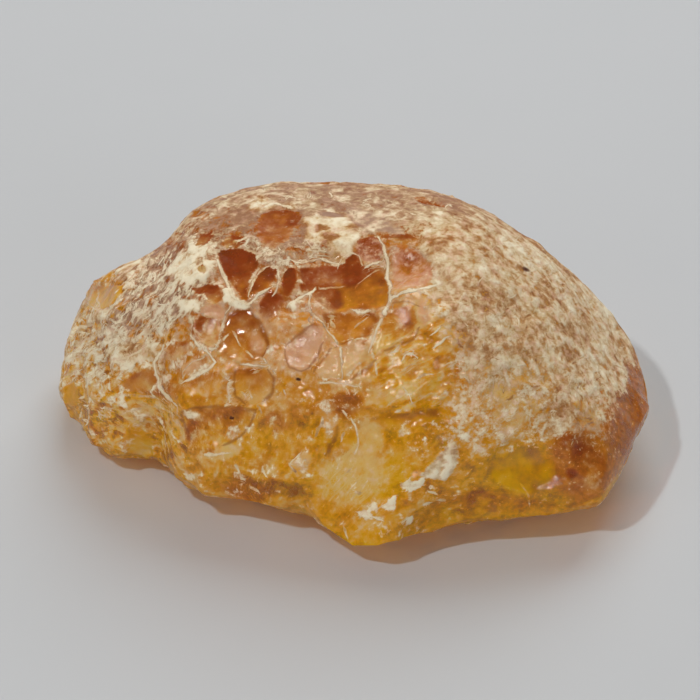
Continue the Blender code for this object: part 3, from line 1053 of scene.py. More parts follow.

# Veins of chalk between the windows, and white lines on the resin that are painted highlights of the lamps,
# as marked
VEINS = (
    Vein(((217, 261), (224, 278), (231, 294), (236, 300)), 2.4),
    Vein(((236, 300), (247, 305), (257, 297), (266, 290), (272, 286)), 1.6),
    Vein(((232, 302), (226, 313), (222, 330), (218, 346)), 1.2, 0.9),
    Vein(((189, 334), (196, 342), (203, 347), (210, 350), (216, 348)), 2.2),
    Vein(((287, 305), (299, 297), (308, 292), (315, 287)), 1.8),
    Vein(((310, 290), (308, 300), (310, 312), (325, 327), (334, 337), (339, 346), (341, 362), (341, 379)),
          1.2, 0.9),
    Vein(((339, 346), (351, 339), (362, 338)), 1, 0.8),
    Vein(((378, 236), (384, 245), (387, 257), (386, 272), (390, 290), (390, 299)), 3),
    Vein(((390, 299), (400, 294), (412, 290), (425, 287), (438, 285)), 3),
    Vein(((390, 299), (387, 308), (384, 316)), 3),
    Vein(((384, 316), (376, 332), (368, 352)), 1.3, 0.8),
    Vein(((241, 365), (252, 366), (265, 366)), 1.8),
    Vein(((262, 358), (268, 366), (275, 373)), 1.2),
    Vein(((180, 384), (192, 377), (204, 370), (215, 362), (210, 355), (204, 350)), 2),
    Vein(((180, 384), (182, 373), (192, 362), (205, 357)), 0.9, 0.8),
    Vein(((162, 345), (158, 354), (154, 362), (155, 376), (160, 388), (168, 399), (178, 407)), 2),
    Vein(((178, 407), (178, 420), (180, 432)), 1.2, 0.5),
    Vein(((118, 416), (127, 412), (139, 409), (150, 407), (161, 410), (175, 416)), 1.5, 0.45),
    Vein(((108, 398), (125, 395), (145, 396), (165, 404)), 1.4, 0.45),
    Vein(((205, 453), (215, 454), (229, 453)), 1.6, 0.8),
    Vein(((249, 296), (251, 282), (259, 271), (268, 265)), 1.2, 0.9),
    Vein(((277, 268), (279, 279), (276, 290), (272, 296)), 1.2, 0.9),
    Vein(((364, 269), (372, 265), (380, 261)), 1.4),
    Vein(((355, 286), (368, 276), (380, 268)), 0.7, 0.5),
    Vein(((262, 207), (275, 203), (292, 208)), 2.6),
    Vein(((336, 268), (342, 258), (350, 252), (358, 255), (362, 266)), 0.9, 0.8),
    Vein(((318, 288), (330, 287), (344, 285)), 0.8, 0.6),
    Vein(((352, 310), (361, 312), (370, 311)), 2, 0.9),
    # Painted highlight: a white line that stands for a glint of the lamps
    Vein(((354, 327), (360, 322), (367, 318)), 0.9, 0.8),
    Vein(((372, 352), (375, 362), (377, 373)), 2, 0.7),
    # Painted highlights, these five lines: white lines that stand for glints of the lamps on the resin
    Vein(((391, 352), (396, 350), (400, 345)), 2.4, 0.9),
    Vein(((401, 360), (404, 355), (410, 353), (416, 357)), 1.4, 0.9),
    Vein(((430, 336), (436, 333), (441, 327)), 1.2, 0.9),
    Vein(((432, 347), (439, 344), (445, 338), (450, 336)), 1.3, 0.9),
    Vein(((417, 377), (425, 374), (434, 375)), 1.6, 0.9),
    Vein(((404, 388), (409, 395), (412, 403)), 1.1, 0.8),
    Vein(((388, 418), (395, 413), (402, 409)), 1.6, 0.9),
    Vein(((300, 311), (309, 311), (318, 322)), 1.2, 0.8),
    Vein(((320, 383), (332, 382), (345, 384), (356, 387)), 1.8, 0.8),
    # Painted highlights, these two lines: white glints of the lamps on the golden resin
    Vein(((340, 441), (342, 436), (343, 431)), 1, 0.8),
    Vein(((352, 415), (356, 424), (358, 437), (359, 445), (355, 453)), 1.2, 0.8),
    Vein(((316, 436), (318, 428), (322, 421)), 2, 0.7),
    Vein(((322, 457), (327, 449), (332, 444)), 1, 0.7),
    # Painted highlight: a dotted white line that stands for glints of the lamps
    Vein(((229, 383), (228, 392), (229, 404)), 1.4, 0.7),
    Vein(((290, 463), (296, 457), (301, 452)), 1.6, 0.7),
    Vein(((357, 513), (364, 514), (372, 517), (383, 521)), 1.3, 0.9),
    Vein(((343, 528), (345, 534), (347, 540)), 1.6, 0.7),
    Vein(((85, 302), (95, 311), (108, 309), (120, 299), (128, 287)), 1.3, 0.8),
    Vein(((98, 289), (95, 299), (99, 308)), 1, 0.7),
    Vein(((70, 336), (80, 328), (92, 322), (104, 318)), 1.6, 0.8),
    Vein(((75, 346), (88, 338), (100, 333), (114, 330)), 1.2, 0.8),
    Vein(((66, 362), (75, 355), (87, 352), (98, 355)), 1.2, 0.8),
    Vein(((66, 376), (76, 372), (86, 376), (92, 386)), 1, 0.7),
    Vein(((110, 360), (125, 358), (140, 352), (150, 345)), 2, 0.8),
    Vein(((130, 330), (140, 318), (150, 312), (160, 300)), 1.4, 0.8),
    Vein(((145, 335), (156, 326), (166, 318), (176, 316)), 1.4, 0.8),
    Vein(((276, 262), (290, 258), (305, 260), (320, 257), (338, 263)), 1.6, 0.9),
    Vein(((246, 248), (256, 252), (270, 254), (284, 252)), 1.4, 0.8),
    Vein(((298, 262), (310, 253), (322, 250), (332, 254)), 1.2, 0.8),
    Vein(((306, 240), (312, 247), (322, 249)), 1.4, 0.8),
    Vein(((206, 252), (216, 253), (222, 247)), 1.2, 0.8),
    Vein(((228, 228), (240, 226), (250, 228)), 1, 0.7),
    Vein(((236, 240), (248, 236), (256, 236)), 1.6, 0.8),
    Vein(((520, 483), (526, 490), (529, 500), (531, 507)), 1.4, 0.42),
)

# Worm marks, drawn at random in this order
WORMS = (
    Worms(150, 300, 82, 30, 132, 90, 132, 40, 10, 1, 1.1),
    Worms(150, 300, 82, 30, 132, 70, 132, 60, 7, 0.9, -1.1),
    Worms(96, 360, 34, 60, 0, 60, 140, 70, 8, 1.1, 1),
    Worms(320, 200, 130, 12, 3, 40, 5, 25, 11, 0.8, 0.9),
    Worms(330, 203, 140, 14, 3, 40, 5, 25, 9, 0.7, -0.8),
    Worms(545, 325, 95, 95, 0, 80, 60, 90, 8, 0.7, 0.8),
    Worms(545, 325, 95, 95, 0, 90, 60, 90, 7, 0.8, -0.8),
    Worms(585, 430, 24, 24, 20, 14, 60, 90, 4, 0.8, 0.45),
    Worms(258, 246, 60, 16, 5, 40, 10, 50, 7, 0.7, 0.8),
    Worms(246, 488, 30, 15, 12, 16, 15, 60, 4, 0.6, 0.5),
    Worms(135, 425, 50, 24, 12, 22, 15, 40, 8, 0.7, 0.45),
)

# Painted highlights: crisp white lines that stand for glints of the lamps on the resin, drawn as chalk
# hairlines
NICKS = (
    ((202, 314), (204, 316)), ((193, 325), (195, 328)), ((195, 329), (201, 335)), ((224, 340), (229, 335)),
    ((233, 332), (239, 345)), ((246, 351), (252, 356)), ((263, 358), (269, 365)), ((271, 369), (273, 371)),
    ((254, 373), (258, 371)), ((227, 379), (232, 382)), ((228, 387), (231, 389)), ((241, 392), (246, 398)),
    ((250, 392), (253, 399)), ((227, 400), (231, 396)), ((284, 391), (285, 395)), ((329, 316), (335, 317)),
    ((330, 320), (334, 327)), ((309, 319), (310, 322)), ((226, 406), (236, 407)), ((258, 407), (262, 412)),
    ((344, 411), (349, 416)), ((340, 438), (344, 432)), ((388, 416), (401, 410)), ((402, 484), (412, 486)),
    ((412, 486), (424, 485)), ((402, 486), (411, 477)), ((428, 492), (438, 495)), ((422, 505), (432, 503)),
    ((439, 501), (446, 501)), ((289, 463), (296, 470)), ((251, 487), (259, 491)), ((236, 464), (239, 471)),
    ((359, 519), (364, 511)), ((364, 511), (370, 514)), ((373, 517), (383, 519)), ((356, 491), (359, 494)),
    ((240, 477), (245, 480)), ((262, 470), (268, 476)),
)

# Fine pale scratches that fan across the resin, partly painted highlights where the lamps glint along them
SCRATCHES_AND_GLINTS = (
    ((327, 484), (341, 466)), ((331, 489), (349, 468)), ((337, 494), (353, 474)), ((326, 474), (336, 460)),
    ((345, 497), (360, 477)), ((330, 501), (341, 488)), ((352, 500), (366, 482)), ((334, 470), (347, 455)),
    ((341, 459), (356, 446)), ((360, 503), (370, 490)), ((383, 397), (402, 385)), ((386, 405), (409, 392)),
    ((393, 380), (414, 366)), ((398, 372), (421, 358)), ((405, 396), (427, 383)), ((378, 388), (391, 378)),
    ((410, 405), (431, 394)), ((402, 352), (420, 342)), ((392, 345), (408, 334)), ((418, 364), (436, 354)),
)

# Brown creases round windows and in the resin
CREASES = (
    Vein(((229, 314), (237, 309), (248, 310), (258, 321), (266, 335), (267, 347), (262, 356)), 2.6, -0.9),
    Vein(((218, 350), (223, 338), (226, 326), (229, 316)), 1.4, -0.7),
    Vein(((193, 321), (192, 331), (198, 341), (208, 348)), 1.4, -0.7),
    Vein(((236, 370), (234, 384), (234, 397), (245, 404)), 1.5, -0.7),
    Vein(((267, 369), (273, 378), (272, 393), (264, 402)), 2, -0.7),
    Vein(((286, 345), (285, 357), (289, 367), (300, 371), (309, 367)), 1, -0.6),
    Vein(((286, 345), (297, 336), (314, 324)), 1, -0.6),
    Vein(((309, 367), (316, 355), (324, 342)), 1.5, -0.7),
    Vein(((313, 372), (322, 360), (331, 348)), 1.2, -0.6),
    Vein(((376, 358), (368, 366), (358, 374), (350, 380)), 2.4, -0.7),
    Vein(((181, 412), (205, 408), (235, 409), (256, 411)), 2, -0.7),
    Vein(((181, 414), (183, 428), (190, 440)), 2.4, -0.7),
    Vein(((256, 412), (250, 425), (238, 438), (222, 447)), 1.8, -0.7),
    Vein(((372, 420), (390, 415), (410, 416), (437, 411)), 3.4, -0.4),
    Vein(((325, 456), (332, 441), (338, 425)), 2.2, -0.4),
    Vein(((165, 352), (162, 362), (164, 376)), 1.2, -0.6),
    Vein(((346, 213), (357, 224), (372, 233), (388, 238), (404, 238)), 1.4, -0.8),
    Vein(((386, 305), (395, 302), (408, 301), (418, 306)), 1.2, -0.6),
    Vein(((384, 350), (396, 346), (412, 339), (420, 328)), 1.6, -0.6),
    Vein(((335, 347), (345, 343), (356, 338), (370, 334)), 1.2, -0.6),
)


@dataclass
class Skin:
    """The lump's skin: its layers at every point, painted from the picture and by noise.

    Attributes:
        points: Places in millimetres.
        normals: Unit normals there.
        view: The picture's camera.
        layers: The level of each layer at every point.
    """

    points: Array
    normals: Array
    view: PictureView
    layers: dict[Layer, Array] = field(default_factory=dict)
    wander: float = 2.6
    shard_stretch: tuple[float, float, float] = (0.62, 1.0, 0.9)
    shard_warp: float = 3.0
    scoop_size: float = 3.4
    nick_size: float = 1.5
    fleck_size: float = 0.75
    window_haze: float = 0.2
    strand_size: float = 0.42
    worm_seed: int = 29
    outline_fade: tuple[float, float] = (0.0, 0.14)
    oval_wander: float = 0.7
    wander_size: float = 1.6
    uneven_size: float = 4.5
    warp_size: float = 9.0
    patchy_size: float = 2.4
    patchy_fine_size: float = 1.4
    patchy_thin_size: float = 0.8
    weather_size: float = 6.0
    weather_haze_size: float = 4.0
    far_from_vein: float = 9.0
    wave_size: float = 3.0
    wave_pixels: float = 6.0
    streak_size: float = 1.6
    splinter_size: float = 1.4
    streak_parts: tuple[float, float] = (1.3, 0.7)
    frosted_own: tuple[float, float] = (0.84, 0.9)
    frosted_place: tuple[float, float] = (0.4, 0.55)
    broken: tuple[float, float] = (0.45, 0.6)
    ragged_pixels: float = 16.0
    chalk_less: float = 0.04
    chalk_uneven: float = 1.2
    pit_share: float = 0.16
    pit_depth: float = 0.35
    pitted_patch: float = 2.9
    sharp_patch: float = 4.0
    edge_tone: float = 0.04
    edge_pixels: tuple[float, float] = (1.5, 5.0)
    window_fall: float = 0.3
    window_cloud: float = 0.5
    rim_pixels: tuple[float, float] = (0.4, 2.2)
    clear_haze: float = 0.45
    clear_grit: float = 0.3
    facet_limit: float = 1.2
    facet_rim: float = 4.0
    facet_level: float = 45.0
    hairline_ends: tuple[float, float] = (0.5, 0.85)
    hairline_near: tuple[float, float] = (1.5, 3.5)
    hairline_past: tuple[float, float] = (0.2, 2.4)
    mosaic: tuple[float, float, float] = (0.5, 0.8, 0.5)
    scratch_and_glint: tuple[float, float] = (0.8, 0.38)
    # The width and whiteness of the painted highlights
    painted_glint_line: tuple[float, float] = (1.3, 0.75)

    def __post_init__(self) -> None:
        """Finds where the points fall in the picture, and shifts them a little so that edges wander."""
        u, v = self.view.project(self.points)
        shift_u = layered_noise(self.points, self.wander_size, Seed.ACROSS) - 0.5
        shift_v = layered_noise(self.points, self.wander_size, Seed.DOWN) - 0.5
        self.u = u + 2.0 * self.wander * shift_u
        self.v = v + 2.0 * self.wander * shift_v
        self.uneven = layered_noise(self.points, self.uneven_size, Seed.UNEVEN)
        self.flow = self.points / self.strand_size
        self.front = smooth_step(self.view.facing(self.points, self.normals), *self.outline_fade)

    def break_up(self) -> None:
        """Breaks the skin into scoops, nicks and flecks, drawn out along lines that wander."""
        wander = [layered_noise(self.points, self.warp_size, Seed.SHARD_WARP + k) - 0.5 for k in range(3)]
        drawn = (self.points + 2.0 * self.shard_warp * np.stack(wander, axis=1)) * self.shard_stretch
        self.scoops, gap, self.scoop_own = scooped_noise(drawn, self.scoop_size, Seed.SCOOPS)
        self.nicks, nick_gap, self.nick_own = scooped_noise(drawn, self.nick_size, Seed.NICKS)
        self.flecks, _, self.fleck_own = scooped_noise(drawn, self.fleck_size, Seed.FLECKS)
        self.ridges = 1.0 - smooth_step(gap, 0.0, 0.16)
        self.inner = smooth_step(gap, 0.1, 0.25)
        self.nick_ridges = 1.0 - smooth_step(nick_gap, 0.0, 0.22)
        self.cleared = np.zeros(len(self.points))
        self.raised = np.zeros(len(self.points))
        self.patchy = layered_noise(self.points, self.patchy_size, Seed.PATCHY)
        self.patchy_fine = layered_noise(self.points, self.patchy_fine_size, Seed.PATCHY_FINE)
        self.patchy_thin = layered_noise(self.points, self.patchy_thin_size, Seed.PATCHY_THIN)

    def weather(self) -> None:
        """Gives every point the levels that it has from weathering alone, as away from the picture's side."""
        height = self.points[:, 2]
        ones = np.ones(len(height))
        patchy = layered_noise(self.points, self.weather_size, Seed.WEATHER)
        clean = self.inner * (self.scoop_own < 0.3)
        crust = 0.7 + 0.5 * (patchy - 0.5)
        crust = crust * (1.0 - clean) + 0.1 * clean
        low = 1.0 - smooth_step(height, 2.0, 7.0)
        self.layers = {
            Layer.CRUST: np.clip(crust - 0.35 * low, 0.0, 1.0),
            Layer.CHALK: 0.42 + 0.3 * self.ridges * smooth_step(patchy, 0.4, 0.6),
            Layer.TONE: 0.2 + 0.5 * smooth_step(height, 5.0, 20.0) + 0.2 * (self.scoop_own - 0.5),
            Layer.HAZE: 0.3 + 0.4 * layered_noise(self.points, self.weather_haze_size, Seed.HAZE),
            Layer.MAUVE: 0.5 * smooth_step(height, 12.0, 23.0) * smooth_step(patchy, 0.35, 0.6),
            Layer.SOOT: 0.0 * ones,
            Layer.GRIT: ones,
            Layer.STRANDS: ones,
            Layer.VEIN_SIDE: self.far_from_vein * ones,
            Layer.VEIN_NEAR: 0.0 * ones,
        }
        self.to_vein = np.full(len(height), np.inf)

    def pull(self, share: Array, levels: dict[Layer, float | Array]) -> None:
        """Moves layers towards their levels by a share, on the side that the picture shows."""
        share = share * self.front
        for layer, level in levels.items():
            self.layers[layer] = self.layers[layer] * (1.0 - share) + level * share

    def change(self, layer: Layer, amount: Array) -> None:
        """Moves a layer up or down by an amount."""
        self.layers[layer] = self.layers[layer] + amount

    def oval(self, spot: Spot | Zone | Streaks) -> Array:
        """How much of a soft oval each point has: 1 inside, and fading over its soft edge.

        Args:
            spot: The oval's middle, half lengths and turn, and how soft it is.

        Returns:
            Shares from 0 to 1.
        """
        cosine = math.cos(math.radians(spot.turn))
        sine = math.sin(math.radians(spot.turn))
        du = self.u - spot.u
        dv = self.v - spot.v
        along = (du * cosine + dv * sine) / spot.long
        across = (dv * cosine - du * sine) / spot.short
        away = np.sqrt(along**2 + across**2) + self.oval_wander * (self.uneven - 0.5)
        return 1.0 - smooth_step(away, 1.0 - spot.soft, 1.0 + spot.soft)

    def draw_streaks(self, streaks: Streaks) -> None:
        """Moves layers and relief up and down in streaks, as noise over the way round the hub and outwards.

        Args:
            streaks: Where the streaks are, their hub and what they change.
        """
        du = self.u - streaks.hub[0]
        dv = self.v - streaks.hub[1]
        middle = math.hypot(streaks.u - streaks.hub[0], streaks.v - streaks.hub[1])
        sweep = np.arctan2(dv, du) * middle
        out = np.hypot(du, dv)
        along, across = (sweep, out) if streaks.round_hub else (out, sweep)
        waves = layered_noise(self.points, self.wave_size, Seed.STREAK_WAVES) - 0.5
        wavy = across + self.wave_pixels * waves
        flat = np.stack([wavy / streaks.width, along / streaks.length, np.full_like(out, streaks.u)], axis=1)
        soft = layered_noise(flat, self.streak_size, Seed.STREAKS) - 0.5
        splinters, _, own = scooped_noise(flat, self.splinter_size, Seed.SPLINTERS)
        noise = self.streak_parts[0] * soft + self.streak_parts[1] * (own - 0.5)
        within = self.oval(streaks) * self.front
        self.flow = np.where((within > 0.5)[:, None], flat, self.flow)
        seam = smooth_step(np.abs(within - 0.5), 0.05, 0.3)
        strands = self.layers[Layer.STRANDS]
        self.layers[Layer.STRANDS] = np.where(within > 0.5, seam, np.minimum(strands, seam))
        share = within * (1.0 - 0.6 * self.cleared)
        for layer, strength in streaks.gives:
            self.change(layer, strength * noise * share)
        self.raised = self.raised + streaks.relief * (noise + splinters - 0.3) * share
        frosted = share * streaks.flecks * smooth_step(own, *self.frosted_own)
        frosted = frosted * smooth_step(self.patchy, *self.frosted_place)
        self.pull(frosted, {Layer.CHALK: 0.85, Layer.CRUST: 0.8})

    def inside(self, outline: Line) -> Array:
        """Distance in pixels from an outline, above 0 inside it and below 0 outside.

        The distance is the least to any of its edges, and a point is inside if a line from it to the right
        crosses the outline an odd number of times.

        Args:
            outline: The outline's corners in pixels.

        Returns:
            The distance of every point.
        """
        start = np.array(outline, float)
        end = np.roll(start, -1, axis=0)
        distance = np.full(len(self.u), np.inf)
        crossings = np.zeros(len(self.u), int)
        for (u0, v0), (u1, v1) in zip(start, end):
            distance = np.minimum(distance, self.to_segment(u0, v0, u1, v1))
            spans = (v0 > self.v) != (v1 > self.v)
            reach = u0 + (self.v - v0) * (u1 - u0) / (v1 - v0 if v1 != v0 else 1.0)
            crossings += spans & (self.u < reach)
        return np.where(crossings % 2 == 1, distance, -distance)

    def to_segment(self, u0: float, v0: float, u1: float, v1: float) -> Array:
        """Distance in pixels from a straight stretch between two pixels.

        Args:
            u0: Where the stretch starts, across.
            v0: Where the stretch starts, down.
            u1: Where it ends, across.
            v1: Where it ends, down.

        Returns:
            The distance of every point.
        """
        du = u1 - u0
        dv = v1 - v0
        share = np.clip(((self.u - u0) * du + (self.v - v0) * dv) / (du * du + dv * dv + 1e-9), 0.0, 1.0)
        return np.hypot(self.u - u0 - share * du, self.v - v0 - share * dv)

    def lay_patch(self, patch: Patch) -> None:
        """Gives a patch its levels and a broken pale rim, and cuts it to a flat, slightly hollow facet.

        A window is deeper in tone near its edge and its top, and hazier towards its foot. The facet's plane
        faces as the patch does on average. Points above it come down to it.

        Args:
            patch: The outline and the levels.
        """
        depth = self.inside(patch.outline)
        share = smooth_step(depth, -patch.soft, patch.soft)
        if patch.chalk > 0.0:
            torn = depth + self.ragged_pixels * (self.patchy_fine - 0.5)
            ragged = smooth_step(torn, -patch.soft, patch.soft)
            pits = self.pit_depth * (self.fleck_own < self.pit_share) * (patch.soft > self.pitted_patch)
            chalk = patch.chalk - self.chalk_less + self.chalk_uneven * (self.patchy_fine - 0.5) - pits
            self.pull(ragged, {Layer.CRUST: patch.crust, Layer.CHALK: chalk, Layer.HAZE: 0.9,
                               Layer.MAUVE: patch.mauve, Layer.GRIT: 0.7})
        else:
            tall = np.array(patch.outline)[:, 1]
            fall = np.clip((self.v - tall.mean()) / np.ptp(tall), -0.5, 0.5)
            edge = smooth_step(depth, 0.0, self.edge_pixels[0])
            edge = edge * (1.0 - smooth_step(depth, *self.edge_pixels))
            cloud = self.patchy_fine - 0.5
            tone = patch.tone + self.edge_tone * edge - self.window_fall * fall + self.window_cloud * cloud
            haze = patch.haze + self.window_haze + self.window_fall * fall - self.window_cloud * cloud
            self.pull(share, {Layer.CRUST: patch.crust, Layer.TONE: np.clip(tone, 0.0, 1.0), Layer.HAZE: haze,
                              Layer.MAUVE: patch.mauve})
            line = 1.0 - smooth_step(np.abs(depth + 1.0), *self.rim_pixels)
            line = line * patch.rim * smooth_step(self.patchy, *self.broken)
            self.pull(line, {Layer.CRUST: 0.85, Layer.CHALK: 0.8})
            if patch.soft < self.sharp_patch:
                self.cleared = np.maximum(self.cleared, share * self.front)
                self.pull(share, {Layer.GRIT: self.clear_grit if patch.haze < self.clear_haze else 1.0})
        if patch.cut > 0.0:
            self.cut_facet(depth, share * self.front, patch.cut)

    def cut_facet(self, depth: Array, share: Array, cut: float) -> None:
        """Lowers the points of a patch to a plane, and a little more towards its middle.

        Args:
            depth: How many pixels inside the patch each point is.
            share: How much of the patch each point has.
            cut: How much more the middle is lowered, in millimetres.
        """
        chosen = share > 0.5
        if not chosen.any():
            return
        outwards = self.normals[chosen].mean(axis=0)
        outwards /= np.linalg.norm(outwards)
        middle = self.points[chosen].mean(axis=0)
        rise = (self.points - middle) @ outwards
        rim = chosen & (depth < self.facet_rim)
        level = np.percentile(rise[rim], self.facet_level)
        widest = max(float(depth[chosen].max()), 1.0)
        bowl = level - cut * smooth_step(depth, 0.0, widest)
        change = np.minimum(bowl - rise, 0.0)
        change = np.maximum(change, -self.facet_limit) * share * (share > 0.01)
        self.points = self.points + change[:, None] * outwards

    def draw_hairline(self, vein: Vein, where: Array) -> None:
        """Keeps how many half widths each point is from the nearest hairline, below 0 on one side of it.

        The material finds the line where this crosses 0, so that it can be finer than the grid. A line of
        more than two pixels thins towards its ends, and all are thick and thin by noise.

        Args:
            vein: The line.
            where: How much of the line each point may have.
        """
        start = np.array(vein.line[0])
        reach = np.array(vein.line[-1]) - start
        across = np.stack([self.u - start[0], self.v - start[1]], axis=1) @ reach / (reach @ reach)
        least = self.hairline_ends[0] if len(vein.line) > 2 else self.hairline_ends[1]
        taper = least + (1.0 - least) * np.sqrt(np.clip(4.0 * across * (1.0 - across), 0.0, 1.0))
        half = (0.5 * vein.width + 0.35) * taper * (0.3 + 1.4 * self.patchy_fine)
        last = len(vein.line) - 2
        for i, ((u0, v0), (u1, v1)) in enumerate(zip(vein.line, vein.line[1:])):
            distance = self.to_segment(u0, v0, u1, v1)
            long = math.hypot(u1 - u0, v1 - v0)
            before = ((u0 - u1) * (self.u - u0) + (v0 - v1) * (self.v - v0)) / long
            after = ((u1 - u0) * (self.u - u1) + (v1 - v0) * (self.v - v1)) / long
            past = np.maximum(before * (i == 0), after * (i == last))
            side = np.where((u1 - u0) * (self.v - v0) > (v1 - v0) * (self.u - u0), 1.0, -1.0)
            closer = distance - vein.width < self.to_vein
            self.to_vein = np.where(closer, distance - vein.width, self.to_vein)
            was = self.layers[Layer.VEIN_SIDE]
            self.layers[Layer.VEIN_SIDE] = np.where(closer, side * distance / half, was)
            near = 1.0 - smooth_step(distance, *(vein.width + more for more in self.hairline_near))
            near = near * (1.0 - smooth_step(past, *self.hairline_past)) * vein.level * where
            self.layers[Layer.VEIN_NEAR] = np.where(closer, near, self.layers[Layer.VEIN_NEAR])

    def draw_edge(self, edge: Edge) -> None:
        """Pulls layers towards an edge's levels, within its width of the line, with gaps by noise.

        Args:
            edge: The line and the levels.
        """
        distance = np.full(len(self.u), np.inf)
        for (u0, v0), (u1, v1) in zip(edge.line, edge.line[1:]):
            distance = np.minimum(distance, self.to_segment(u0, v0, u1, v1))
        width = edge.width * (0.1 + 1.4 * self.patchy_fine)
        share = (1.0 - smooth_step(distance - width, -1.2, 1.4)) * edge.strength
        share = share * smooth_step(self.patchy_thin, 0.25, 0.45)
        uneven = 0.5 * (self.patchy_fine - 0.5)
        self.pull(share, {layer: level + uneven for layer, level in edge.gives})

    def speckle(self) -> None:
        """Breaks the crust into small grains, each with chalk and thickness of its own."""
        grains = 0.55 * (self.fleck_own - 0.5) + 0.35 * (self.nick_own - 0.5)
        held = smooth_step(self.layers[Layer.CRUST], 0.3, 0.6)
        self.change(Layer.CHALK, 0.25 * grains * held)
        self.change(Layer.CRUST, 0.2 * grains * held)

    def shatter(self) -> None:
        """Gives scoops, nicks and flecks haze and tone of their own, and frosts their ridges with chalk."""
        broken = smooth_step(self.patchy, *self.broken)
        wide, middle, fine = self.mosaic
        mosaic = wide * self.scoop_own + middle * self.nick_own + fine * self.fleck_own
        mosaic = mosaic - 0.5 * sum(self.mosaic)
        for zone in SHATTERED:
            share = self.oval(zone) * self.front * zone.strength * (1.0 - 0.65 * self.cleared)
            self.change(Layer.HAZE, 0.4 * mosaic * share)
            self.change(Layer.TONE, 0.25 * (self.fleck_own - 0.5) * share)
            line = np.maximum(self.ridges, 0.7 * self.nick_ridges) * share * broken
            self.pull(line, {Layer.CHALK: 0.7, Layer.HAZE: 1.0, Layer.CRUST: 0.35})
            fleck = share * (self.fleck_own > 0.86) * broken
            self.pull(fleck, {Layer.CHALK: 0.8, Layer.CRUST: 0.62})

    def paint(self) -> None:
        """Paints the picture's areas, streaks, windows, chalk, marks, edges and hairlines, in that order.
        Some marks and hairlines are painted highlights, and one edge is a painted glow.
        """
        self.break_up()
        self.weather()
        for spot in AREAS:
            self.pull(self.oval(spot), spot.levels())
        self.speckle()
        for streaks in STREAKS:
            self.draw_streaks(streaks)
        for patch in WINDOWS:
            self.lay_patch(patch)
        self.shatter()
        for patch in CHALKS:
            self.lay_patch(patch)
        for spot in MARKS:
            self.pull(self.oval(spot), spot.levels())
        for edge in EDGES:
            self.draw_edge(edge)
        draw = np.random.default_rng(self.worm_seed)
        for worms in WORMS:
            for mark in worms.marks(draw):
                self.draw_hairline(mark, self.front * (1.0 - self.cleared))
        for vein in (*CREASES, *VEINS):
            self.draw_hairline(vein, self.front)
        # Pale scratches, partly painted highlights
        for line in SCRATCHES_AND_GLINTS:
            self.draw_hairline(Vein(line, *self.scratch_and_glint), self.front)
        # Painted highlights: white lines that stand for the lamps' glints on the resin
        for line in NICKS:
            self.draw_hairline(Vein(line, *self.painted_glint_line), self.front)


def linear(red: float, green: float, blue: float) -> tuple[float, float, float, float]:
    """A screen colour as the light it stands for, by the sRGB curve, with full cover.

    Args:
        red: From 0 to 255.
        green: From 0 to 255.
        blue: From 0 to 255.

    Returns:
        Shares from 0 to 1.
    """
    shares = (value / 255.0 for value in (red, green, blue))
    light = [s / 12.92 if s <= 0.04045 else ((s + 0.055) / 1.055) ** 2.4 for s in shares]
    return (*light, 1.0)


Colour = tuple[float, float, float, float]


